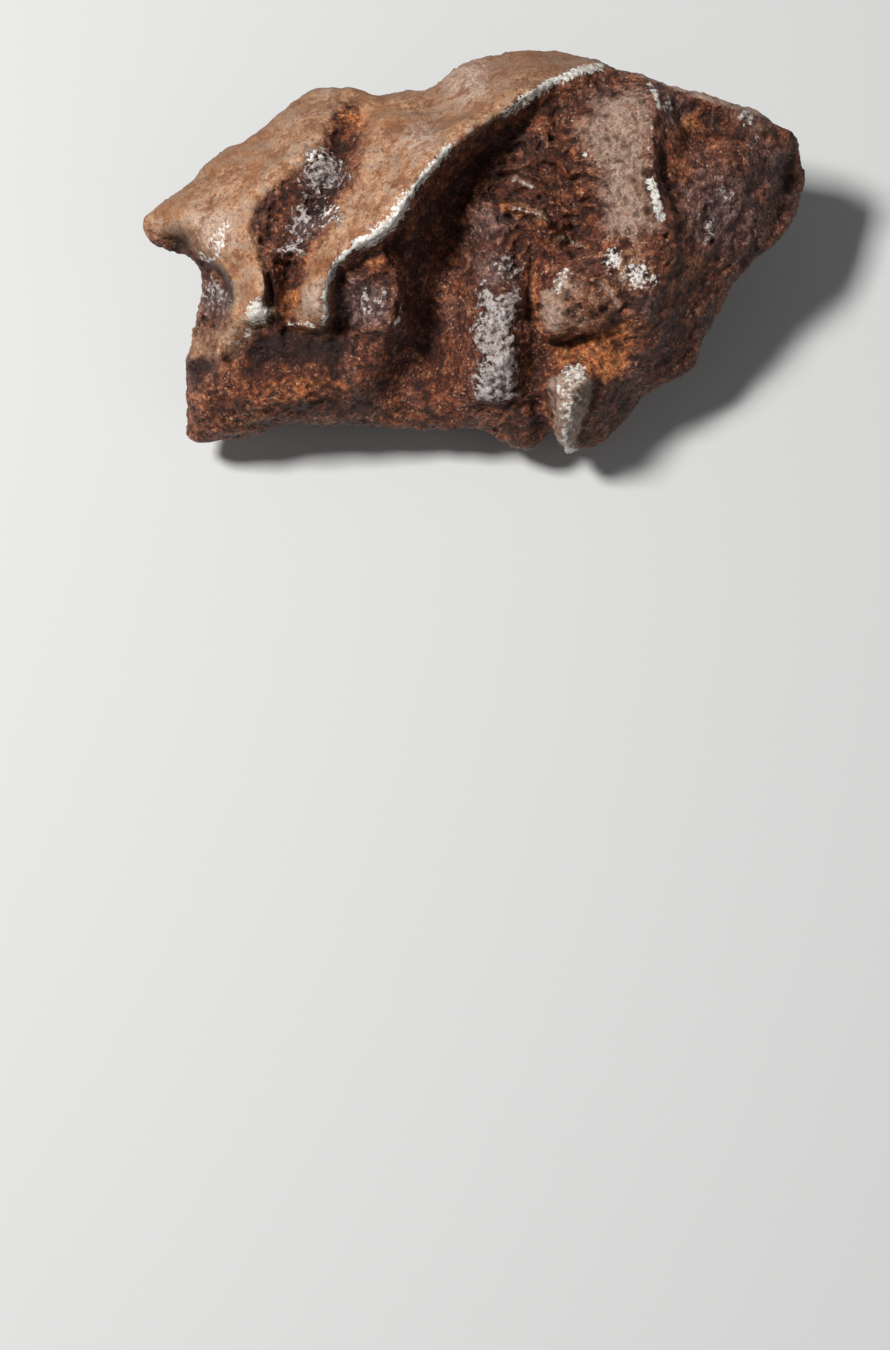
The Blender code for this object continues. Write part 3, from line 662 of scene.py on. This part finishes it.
# %% Worn pale metal on the crests
WORN_LINES = [
    (0.24, 0.9, [(-0.9, 4.15), (-1.7, 3.4), (-2.4, 2.5), (-2.9, 1.8)]),
    (0.34, 1.1, [(-2.6, 2.3), (-3.1, 1.5), (-3.9, 0.65), (-5.0, 0.2)]),
    (0.55, 0.58, [(-2.3, 2.9), (-2.9, 2.0), (-3.5, 1.2), (-4.3, 0.6)]),
    (0.26, 0.95, [(1.6, 5.9), (2.4, 6.3), (3.2, 6.8), (4.3, 7.25), (5.5, 7.45)]),
    (0.34, 0.7, [(1.0, 5.35), (1.6, 5.75), (2.2, 6.25)]),
    (0.3, 0.4, [(-0.9, 4.2), (0.2, 4.9), (1.2, 5.6)]),
    (0.18, 0.95, [(-4.9, 0.2), (-5.5, -0.4), (-5.8, -1.2)]),
    (0.18, 0.75, [(-5.7, -0.8), (-6.0, -1.6), (-5.95, -2.4), (-6.1, -3.0)]),
    (0.12, 0.65, [(-6.3, -3.0), (-7.0, -2.8), (-7.6, -2.9)]),
    (0.5, 0.5, [(-9.8, 1.3), (-10.3, 0.7), (-10.6, 0.0)]),
    (0.12, 0.85, [(-9.8, 1.4), (-10.25, 0.8), (-10.05, 0.4), (-10.5, 0.1)]),
    (0.14, 0.85, [(-11.1, 0.05), (-10.7, -0.3), (-10.2, 0.0)]),
    (0.24, 0.8, [(-8.7, -2.6), (-9.1, -3.2), (-9.6, -3.8)]),
    (0.16, 0.8, [(7.0, 6.9), (7.4, 6.2), (7.5, 5.7)]),
    (0.14, 0.5, [(7.3, 5.4), (7.1, 4.6), (7.15, 3.3)]),
    (0.24, 1.0, [(7.05, 3.1), (7.3, 2.4), (7.5, 1.7), (7.7, 1.2)]),
    (0.3, 0.72, [(3.9, -0.6), (3.5, -1.1), (3.3, -1.7)]),
    (0.6, 0.55, [(3.6, -5.0), (3.9, -5.8), (3.85, -6.6), (3.85, -7.4)]),
    (0.22, 0.8, [(3.75, -7.0), (3.8, -7.6), (3.9, -8.3)]),
    (0.2, 0.74, [(1.5, 1.85), (2.3, 1.65), (3.0, 1.25)]),
    (0.12, 0.65, [(1.6, 2.8), (1.75, 3.0), (2.05, 2.8), (2.5, 2.6)]),
    (0.12, 0.8, [(-2.9, -2.0), (-3.0, -2.6), (-3.3, -3.1)]),
]
# Most spots are rubbed metal; the two small ones at (9.0, -2.2) and (9.5, -1.2) are painted glints.
WORN_AND_GLINT_SPOTS = [
    (4.5, 3.93, 0.15, 1.3), (-8.7, -2.4, 0.6, 1.15), (-13.4, 1.0, 0.3, 0.5), (6.6, -0.9, 0.75, 0.92),
    (5.65, -0.2, 0.5, 0.95), (7.3, -1.1, 0.4, 0.8), (4.1, -4.9, 0.6, 0.95), (-1.0, 4.15, 0.35, 0.8),
    (3.9, -8.0, 0.4, 1.1), (6.3, 1.3, 0.2, 0.7), (3.4, -5.4, 0.3, 0.8), (4.3, -5.9, 0.3, 0.6),
    (9.0, -2.2, 0.14, 0.8), (9.5, -1.2, 0.2, 0.7), (9.5, 0.5, 0.25, 0.7), (6.2, 0.83, 0.3, 0.6),
    (5.5, -0.8, 0.32, 0.6), (-6.5, -1.8, 0.5, 0.45), (0.0, 6.9, 0.8, 0.42), (0.5, 6.3, 0.5, 0.42),
]
proud = soft_step(-fine_hollow, -0.002, 0.03)
wear_and_glints = draw(WORN_LINES, WORN_AND_GLINT_SPOTS)
keep_mask("wear_and_glints", wear_and_glints * (0.7 + 0.3 * proud))

# %% Grey metal where the crust has flaked off
SILVER_LINES = [(0.8, 0.58, [(-5.5, 3.9), (-6.1, 3.3), (-6.3, 2.2), (-6.9, 1.1), (-7.3, 0.1)])]
SILVER_SPOTS = [
    (-6.0, 3.3, 1.0, 0.9), (-6.1, 1.7, 0.9, 0.66), (-4.4, -1.9, 1.1, 0.46), (1.4, -0.6, 0.7, 0.6),
    (-10.4, -1.6, 0.8, 0.6), (-7.3, 0.3, 0.7, 0.66), (7.8, 5.9, 0.4, 0.6), (11.0, 5.4, 0.45, 0.6),
    (11.3, 4.5, 0.4, 0.5), (10.0, 2.0, 0.9, 0.45), (9.5, 1.1, 0.7, 0.5),
]
silver = draw(SILVER_LINES, SILVER_SPOTS)
keep_mask("silver", np.maximum(silver, 0.85 * patch(u, v, SILVER_RIB, 0.7) * face_side))

# %% [markdown]
# ### Orange and violet rust
# Fresh rust is an orange powder that gathers where water stays: in the cavity, at the foot and in the
# lips' shade. Old rust wears a thin violet-brown film. Both lie in loose clouds, so they are drawn as
# wide soft spots.

# %% Orange rust
ORANGE_LINES = [(0.4, 0.5, [(-4.2, 5.0), (-5.1, 2.6), (-6.3, 0.3), (-7.2, -1.0)]),
                (0.4, 0.58, [(-8.8, -5.6), (-7.3, -5.2), (-5.9, -5.2), (-4.8, -5.6)]),
                (0.34, 0.8, [(0.9, 1.95), (2.1, 1.75), (3.1, 1.1)]),
                (0.35, 0.55, [(2.4, -0.2), (2.4, -1.6), (2.6, -3.0)])]
ORANGE_SPOTS = [(3.6, -4.1, 0.5, 0.6), (5.6, -5.2, 0.9, 0.5), (-7.4, -1.8, 0.5, 1.2), (-7.5, -2.5, 0.4, 0.9),
                (-7.0, -0.2, 0.5, 0.6), (-4.8, 5.3, 1.0, 0.7), (-7.9, 2.0, 0.5, 0.5), (-6.4, -0.4, 0.6, 0.6),
                (-7.0, -5.4, 0.7, 0.75), (-3.2, -6.8, 0.8, 0.6), (8.8, 5.3, 0.8, 0.7), (10.3, 5.0, 0.6, 0.7),
                (8.4, 3.5, 0.9, 0.6), (9.0, -0.2, 0.8, 0.5), (11.8, 2.2, 0.8, 0.5), (-3.9, -0.2, 0.7, 0.7),
                (6.1, -2.4, 0.8, 0.5), (4.0, 2.9, 1.2, 0.4), (-3.2, 0.1, 0.6, 0.5), (6.2, 0.83, 0.14, 0.9),
                (1.8, 5.1, 1.0, 0.4), (8.7, -1.1, 0.9, 0.55)]
orange = draw(ORANGE_LINES, ORANGE_SPOTS)
orange = np.maximum(orange, patch(u, v, CAVITY, 0.5) * face_side)
keep_mask("orange", np.maximum(orange, 0.42 * patch(u, v, FOOT, 0.6) * face_side))

# %% Violet-brown film on the rust
VIOLET_SPOTS = [(-4.3, -2.0, 1.3, 1.0), (-6.0, 3.0, 1.2, 0.6), (-6.6, 1.2, 1.1, 0.7), (-10.5, -1.9, 0.9, 0.9),
                (0.7, 1.2, 1.2, 0.8), (0.8, -0.6, 1.2, 0.8), (10.0, 1.8, 2.2, 0.8), (8.9, -2.2, 1.2, 0.3),
                (12.0, 3.5, 1.5, 0.6), (8.2, 5.6, 0.9, 0.7), (-0.8, -2.5, 1.2, 0.5), (6.9, -2.0, 0.9, 0.6)]
keep_mask("violet", draw(spots=VIOLET_SPOTS) + 0.35 * (1 - face_side))

# %% [markdown]
# ### Brown skin and pale crust
# The slopes above and left of the crest still carry the smooth skin that froze in flight. Shade is painted
# into it where it turns away over the edge and along its upper margins; it is pale where it is rubbed, and
# a painted highlight runs along the top right rim. The skin keeps to the outline that also kept the relief
# calm, so colour and shape agree.

# %% Smooth brown skin and its pale places
PALE_LINES = [(0.22, 0.85, [(1.3, 1.95), (2.1, 1.8), (2.8, 1.6), (3.15, 1.1)]),
              (0.14, 0.8, [(1.6, 2.75), (1.75, 3.05), (2.05, 2.8), (2.5, 2.6)]),
              (0.14, 0.8, [(3.3, 0.65), (3.9, 0.5), (4.5, 0.2)]),
              (0.3, 1.1, [(3.0, -1.4), (3.1, -2.4), (3.3, -3.2)]),
              (0.16, 0.7, [(4.6, -1.1), (5.2, -1.2), (5.7, -1.8), (6.0, -2.3)])]
RIM_HIGHLIGHT = [(5.4, 7.75), (7.4, 7.05), (9.3, 6.35), (11.4, 5.75), (12.8, 5.1), (13.4, 4.3)]
PALE_SPOTS = [
    (-10.4, 0.9, 1.0, 1.0), (-12.6, 1.1, 0.8, 0.5), (-0.2, 6.9, 1.1, 1.0), (-2.2, 4.5, 0.9, 0.85),
    (3.3, -2.4, 0.7, 0.9), (3.6, -1.2, 0.5, 0.9), (3.9, 5.0, 1.1, 0.3), (-6.5, -1.9, 0.7, 0.95),
    (-5.8, 6.5, 0.6, 0.6), (-9.2, -0.6, 0.7, 0.4), (4.0, -1.3, 0.8, 0.5), (6.1, -3.6, 0.4, 0.7),
    (5.0, 5.15, 0.3, 0.8), (-11.0, 1.3, 0.7, 0.8), (11.6, 4.9, 0.8, 0.45),
]
RIM_SHADE_LINES = [
    (0.5, 0.9, [(-13.2, 1.3), (-12.2, 1.9), (-11.0, 2.8), (-10.3, 3.7), (-8.2, 5.2), (-6.4, 6.4)]),
    (0.9, 1.0, [(0.6, 7.5), (2.6, 7.9), (4.6, 7.7)]),
]
UNDER_THE_POCKET = [(-11.9, -1.0), (-11.4, -1.0), (-11.3, -2.9), (-10.0, -2.9), (-9.4, -3.7), (-9.8, -4.3),
                    (-11.9, -4.2)]
ABOVE_THE_KNOB = (6.4, -0.6)
skin = np.maximum(patch(u, v, SKIN_OUTLINE, 0.6), 0.35 * patch(u, v, KNOB, 0.5))
skin = np.maximum(skin, 0.68 * patch(u, v, UNDER_THE_POCKET, 0.5))
skin = np.maximum(skin, dent(u, v, ABOVE_THE_KNOB, 1.3, 0.5))
shoulder = soft_step(facing[:, 2], -0.95, 0.25)
rubbed = 0.75 * soft_step(-broad_hollow, 0.0, 0.18) * (1 - face_side)
keep_mask("skin", np.maximum(skin * shoulder, rubbed))
# Painted shade: darker where the skin turns away from the eye and along the drawn upper margins.
keep_mask("painted rim shade", np.maximum(soft_step(1 - facing[:, 2], 0.15, 0.75), draw(RIM_SHADE_LINES)))
pale = draw(PALE_LINES, PALE_SPOTS)
crust = np.maximum(0.8 * patch(u, v, PALE_SLOPE, 0.9), 1.2 * patch(u, v, PRONG, 0.3))
pale = np.maximum(pale, crust * face_side)
# A pale line along the top right rim is a painted highlight on the edge.
pale = np.maximum(pale, stroke(u, v, RIM_HIGHLIGHT, 0.6, 0.22, 1.3) * (facing[:, 2] > -0.5))
keep_mask("pale", pale)

# %% [markdown]
# ### Painted shade
# Shade is painted into whatever is sunk, and what stands proud is left as it is. Both are measured on the
# finished mesh, by comparing each point with its neighbours. The darkest slots, undercuts and pits get
# painted shadow on top of that.

# %% Painted shade in the hollows, and what stands proud
DARK_LINES = [(0.45, 0.9, [(2.4, 5.0), (0.8, 4.2), (-0.6, 2.8), (-1.9, 1.2), (-2.2, -1.0), (-2.2, -4.5)]),
              (0.2, 0.9, [(-8.2, -0.4), (-8.1, -1.6), (-8.1, -3.0)]),
              (0.2, 0.9, [(-5.4, -0.6), (-5.4, -2.6)]),
              (0.16, 1.3, [(-11.3, -0.2), (-10.8, -0.5), (-10.2, -0.75), (-9.85, -1.4), (-9.8, -2.2)]),
              (0.7, 1.6, [(-9.2, -4.4), (-8.3, -3.8), (-7.0, -3.8), (-5.8, -3.9), (-5.2, -4.4)]),
              (0.45, 0.9, [(-7.3, -6.2), (-5.5, -6.2), (-3.6, -6.3)])]
DARK_SPOTS = [
    (-11.8, 0.35, 0.45, 1.4), (-10.8, -4.55, 0.32, 1.8), (-11.35, -4.6, 0.32, 1.5), (12.9, 2.9, 0.9, 1.1),
    (13.3, 1.8, 0.6, 0.9), (3.8, 0.5, 0.7, 0.6), (2.0, 3.0, 1.3, 0.5), (-0.5, 0.5, 1.0, 0.4),
    (5.6, -6.6, 1.3, 0.5), (5.75, -2.55, 0.3, 1.0), (5.85, -3.85, 0.26, 1.2), (-9.7, -6.1, 0.5, 0.6),
    (-10.9, -6.9, 0.5, 0.4), (11.6, 0.6, 1.6, 0.3), (3.9, -7.35, 0.2, 0.7), (8.3, -3.7, 1.6, 0.45),
    (2.0, -6.8, 1.4, 0.35), (4.0, 6.3, 0.8, 0.4),
]
on_skin = patch(u, v, SKIN_OUTLINE, 0.3) * face_side
# Painted shade in whatever is sunk, weaker on the skin.
sunk = soft_step(fine_hollow, 0.0, 0.045) * 0.75 + soft_step(broad_hollow, 0.1, 0.6) * 0.3
sunk *= 1 - 0.75 * on_skin
keep_mask("proud", soft_step(-fine_hollow, 0.0, 0.035) + 0.3 * soft_step(-broad_hollow, 0.05, 0.3))
# Painted shade: the drawn lines and spots follow the crest's shadow band, the slots, the undercuts and the
# pits.
dark = np.maximum(draw(DARK_LINES, DARK_SPOTS) * 0.8, sunk)
keep_mask("dark", dark * (1 - 0.9 * np.clip(draw(PALE_LINES), 0, 1)))

# %% [markdown]
# ## The rusted iron itself
# One material covers the lump. It starts as red-brown rust, and each mask lays its own finish over it.
# A mask is only a soft cloud, so noise is added to it and the sum is cut off sharply: that gives the
# ragged edge of a flake. Everything reads Object coordinates in millimetres.

# %% The material, and helpers for noise and numbers
from functools import partial

rust = bpy.data.materials.new("rusted iron")
rust.use_nodes = True
web = rust.node_tree
shader = web.nodes["Principled BSDF"]
place = web.nodes.new("ShaderNodeTexCoord")
in_mm = web.nodes.new("ShaderNodeMapping")
in_mm.inputs["Scale"].default_value = (1 / MM, 1 / MM, 1 / MM)
web.links.new(place.outputs["Object"], in_mm.inputs["Vector"])


def feed(socket, source):
    """Joins a node's output to a socket, or sets the socket to a plain number or colour."""
    if isinstance(source, bpy.types.NodeSocket):
        web.links.new(source, socket)
    else:
        socket.default_value = source


def speckle(size, detail=3.0, distortion=0.0, roughness=0.5):
    """Cloudy noise whose lumps are this many millimetres across."""
    noise = web.nodes.new("ShaderNodeTexNoise")
    noise.inputs["Scale"].default_value = 1 / size
    noise.inputs["Detail"].default_value = detail
    noise.inputs["Roughness"].default_value = roughness
    noise.inputs["Distortion"].default_value = distortion
    web.links.new(in_mm.outputs["Vector"], noise.inputs["Vector"])
    return noise.outputs["Fac"]


def sums(operation, first, second):
    """One step of arithmetic on numbers or nodes."""
    node = web.nodes.new("ShaderNodeMath")
    node.operation = operation
    feed(node.inputs[0], first)
    feed(node.inputs[1], second)
    return node.outputs[0]


plus, minus, times = partial(sums, "ADD"), partial(sums, "SUBTRACT"), partial(sums, "MULTIPLY")
print("rusted iron starts with", len(web.nodes), "nodes")


# %% Helpers for masks and colours
def cut(source, low, high, bottom=0.0, top=1.0):
    """Smooth rise from bottom to top as the source goes from low to high."""
    node = web.nodes.new("ShaderNodeMapRange")
    node.interpolation_type = "SMOOTHSTEP"
    feed(node.inputs["Value"], source)
    for name, number in (("From Min", low), ("From Max", high), ("To Min", bottom), ("To Max", top)):
        node.inputs[name].default_value = number
    return node.outputs["Result"]


def drawn(name):
    """A mask that was drawn on the lump."""
    node = web.nodes.new("ShaderNodeAttribute")
    node.attribute_name = name
    return node.outputs["Fac"]


def ragged(mask, noise, reach, low, high):
    """A soft mask with its edge broken up by noise."""
    return cut(plus(mask, times(minus(noise, 0.5), reach)), low, high)


def shades(source, *stops):
    """Colours that follow a source, as (position, red, green, blue)."""
    ramp = web.nodes.new("ShaderNodeValToRGB")
    feed(ramp.inputs["Fac"], source)
    while len(ramp.color_ramp.elements) < len(stops):
        ramp.color_ramp.elements.new(0.5)
    for element, (position, *colour) in zip(ramp.color_ramp.elements, stops):
        element.position = position
        element.color = (*colour, 1)
    return ramp.outputs["Color"]


def lay_over(under, over, amount):
    """One colour laid over another by an amount. A Mix node's sockets 6, 7 and 2 are its colours."""
    mix = web.nodes.new("ShaderNodeMix")
    mix.data_type = "RGBA"
    feed(mix.inputs["Factor"], amount)
    feed(mix.inputs[6], under)
    feed(mix.inputs[7], over)
    return mix.outputs[2]


print("colour helpers: cut, drawn, ragged, shades, lay_over")

# %% Noises that the colours share
dot = speckle(0.11, 2.0, roughness=0.6)
grain = speckle(0.16, 4.0, roughness=0.7)
clots = speckle(0.36, 7.0, roughness=0.74)
blots = speckle(0.9, 4.0, distortion=0.4, roughness=0.65)
drift = speckle(2.0, 3.0, distortion=0.3)
edges = plus(times(clots, 0.55), times(blots, 0.45))
# Proud crumb tops, used below for a painted highlight.
tops = times(drawn("proud"), cut(grain, 0.46, 0.6))
print("noises from 0.11 to 2 mm across")

# %% [markdown]
# ### Old rust
# Old rust is dark red in the deep grain and lighter on its crumbs, and its proud crumb tops get a painted
# highlight. One noise drives a colour ramp for the red rust and one for the violet film, so that both
# share the same crumbs. An even colour with a bump would look like paint.

# %% Red-brown and violet rust with pale crumbs and a painted highlight on top
red_rust = shades(clots, (0.34, 0.018, 0.006, 0.004), (0.46, 0.078, 0.017, 0.008),
                  (0.55, 0.175, 0.043, 0.015), (0.66, 0.42, 0.145, 0.056))
violet = shades(clots, (0.34, 0.03, 0.013, 0.013), (0.48, 0.115, 0.055, 0.05), (0.58, 0.24, 0.145, 0.125),
                (0.7, 0.46, 0.33, 0.29))
clouds = times(ragged(drawn("violet"), edges, 1.6, 0.3, 0.8), 0.85)
film = plus(cut(drift, 0.5, 0.66, 0.0, 0.32), clouds)
colour = lay_over(red_rust, violet, sums("MINIMUM", film, 0.9))
# Pale crumbs: partly rubbed crust, partly a painted highlight on the proud tops.
pale_crumbs_and_highlights = sums("MAXIMUM", times(tops, 0.3), cut(grain, 0.58, 0.68, 0.0, 0.5))
colour = lay_over(colour, (0.52, 0.22, 0.105, 1), pale_crumbs_and_highlights)
colour = lay_over(colour, (0.02, 0.008, 0.006, 1), cut(blots, 0.47, 0.36, 0.0, 0.75))
print("old rust:", len(web.nodes), "nodes")

# %% [markdown]
# ### Skin, pale crust and fresh rust
# The skin is a warm brown with redder and greyer drifts, dark specks of dirt and pale scuffs. Pale
# crust and orange powder lie over it. Each is one layer of a Mix node, from the oldest at the bottom
# to the newest on top, in the order in which they grew.

# %% Brown skin
brown_skin = shades(clots, (0.36, 0.165, 0.062, 0.028), (0.46, 0.31, 0.15, 0.074),
                    (0.55, 0.42, 0.228, 0.125), (0.66, 0.54, 0.355, 0.225))
SKIN_LAYERS = {  # colour, noise, where it starts and is full, strength
    "redder drifts": ((0.33, 0.125, 0.042, 1), drift, 0.49, 0.59, 0.6),
    "greyer blots": ((0.34, 0.25, 0.18, 1), blots, 0.51, 0.6, 0.6),
    "dark blots": ((0.19, 0.066, 0.026, 1), blots, 0.46, 0.38, 0.7),
    "dark specks": ((0.11, 0.036, 0.016, 1), grain, 0.56, 0.62, 0.8),
    "pale scuffs": ((0.68, 0.52, 0.37, 1), grain, 0.4, 0.33, 0.6),
}
for tint, noise, start, full, strength in SKIN_LAYERS.values():
    brown_skin = lay_over(brown_skin, tint, cut(noise, start, full, 0.0, strength))
# Painted shade: the skin turns darker brown where it turns away over the edge.
brown_skin = lay_over(brown_skin, (0.16, 0.07, 0.032, 1), times(drawn("painted rim shade"), 0.62))
skin = ragged(drawn("skin"), edges, 2.0, 0.22, 0.84)
colour = lay_over(colour, brown_skin, skin)
print("with brown skin:", len(web.nodes), "nodes")

# %% Pale crust and orange rust
pale_crust = shades(edges, (0.38, 0.2, 0.1, 0.06), (0.48, 0.37, 0.245, 0.175), (0.6, 0.7, 0.56, 0.46))
pale_crust = lay_over(pale_crust, (0.22, 0.08, 0.036, 1), cut(edges, 0.53, 0.58, 0.0, 0.85))
pale_crust = lay_over(pale_crust, (0.16, 0.065, 0.038, 1), cut(grain, 0.58, 0.64, 0.0, 0.6))
pale = ragged(drawn("pale"), edges, 2.1, 0.28, 0.92)
colour = lay_over(colour, pale_crust, times(pale, 0.85))
orange = ragged(drawn("orange"), edges, 2.1, 0.36, 0.88)
orange_rust = shades(grain, (0.32, 0.15, 0.03, 0.01), (0.48, 0.48, 0.13, 0.032), (0.66, 0.82, 0.38, 0.14))
colour = lay_over(colour, orange_rust, times(orange, 0.85))
print("with orange rust:", len(web.nodes), "nodes")

# %% [markdown]
# ### Metal and painted shade
# Flaked metal is grey with dark cracks, and worn metal is almost white. The cracks follow the middle
# line of a noise, where its value is one half, which gives thin wandering lines. Painted shade goes over
# the flaked metal, more lightly, but under the worn metal, so the worn metal stays pale.

# %% Grey flaked metal
flaked = plus(drawn("silver"), times(minus(drawn("proud"), 0.4), 0.35))
contours = sums("ABSOLUTE", minus(speckle(0.55, 5.0, roughness=0.65), 0.5), 0.0)
crinkles = cut(contours, 0.004, 0.022, 0.85, 0.0)
flake_noise = plus(times(grain, 0.5), times(edges, 0.5))
silver = ragged(times(flaked, cut(drawn("silver"), 0.0, 0.25)), flake_noise, 2.3, 0.42, 0.62)
bare_metal = shades(plus(times(grain, 0.5), times(clots, 0.5)),
                    (0.42, 0.12, 0.062, 0.052), (0.46, 0.52, 0.415, 0.375), (0.57, 0.86, 0.78, 0.74))
colour = lay_over(colour, bare_metal, silver)
cracked = times(crinkles, sums("MAXIMUM", silver, times(pale, 0.5)))
colour = lay_over(colour, (0.09, 0.045, 0.038, 1), cracked)
print("with flaked metal:", len(web.nodes), "nodes")

# %% Painted shade, worn metal and painted glints
# Painted shade: near black laid into the hollows, slots, undercuts and pits of the dark mask.
painted_shade = times(drawn("dark"), minus(0.85, times(silver, 0.35)))
colour = lay_over(colour, (0.014, 0.007, 0.006, 1), painted_shade)
rub = plus(times(grain, 0.65), times(clots, 0.35))
# Worn metal is near white; two of its spots are painted glints.
wear_and_glints = ragged(drawn("wear_and_glints"), rub, 2.3, 0.44, 0.72)
rubbed_metal = shades(grain, (0.36, 0.4, 0.34, 0.28), (0.5, 0.68, 0.63, 0.56), (0.62, 0.92, 0.9, 0.86))
colour = lay_over(colour, rubbed_metal, wear_and_glints)
# Painted glints: small pale flecks that stand in for highlights, kept off the skin and the painted shade.
painted_glints = times(cut(dot, 0.59, 0.66), cut(blots, 0.44, 0.56))
painted_glints = times(painted_glints, minus(1.0, sums("MAXIMUM", times(skin, 0.8), painted_shade)))
colour = lay_over(colour, (0.74, 0.46, 0.3, 1), times(painted_glints, 0.65))
web.links.new(colour, shader.inputs["Base Color"])
print("with worn metal:", len(web.nodes), "nodes")

# %% [markdown]
# ### Gloss and the finest grain
# Rust scatters light and metal returns it in small flashes, so both the sheen and the Metallic value
# follow the masks. Grain finer than the mesh is left to a Bump node, which only tilts the light.
# Modelling it would take millions of triangles.

# %% Gloss and fine relief
metal = sums("MAXIMUM", times(silver, 0.15), times(wear_and_glints, 0.2))
web.links.new(metal, shader.inputs["Metallic"])
gloss = plus(cut(grain, 0.38, 0.62, 0.58, 0.3), times(skin, 0.1))
shader.inputs["Specular IOR Level"].default_value = 0.3
web.links.new(gloss, shader.inputs["Roughness"])
bump = web.nodes.new("ShaderNodeBump")
bump.inputs["Distance"].default_value = 0.14 * MM
smooth = minus(1.0, times(skin, 0.6))
bumps = plus(times(plus(grain, times(clots, 0.8)), smooth),
             times(clots, times(silver, 1.2)))
web.links.new(plus(bumps, times(dot, 0.25)), bump.inputs["Height"])
web.links.new(bump.outputs["Normal"], shader.inputs["Normal"])
lump.data.materials.clear()
lump.data.materials.append(rust)
print("rusted iron:", len(web.nodes), "nodes")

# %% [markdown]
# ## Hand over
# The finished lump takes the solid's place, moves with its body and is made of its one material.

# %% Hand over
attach(lump, "root")
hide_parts("meteorite")
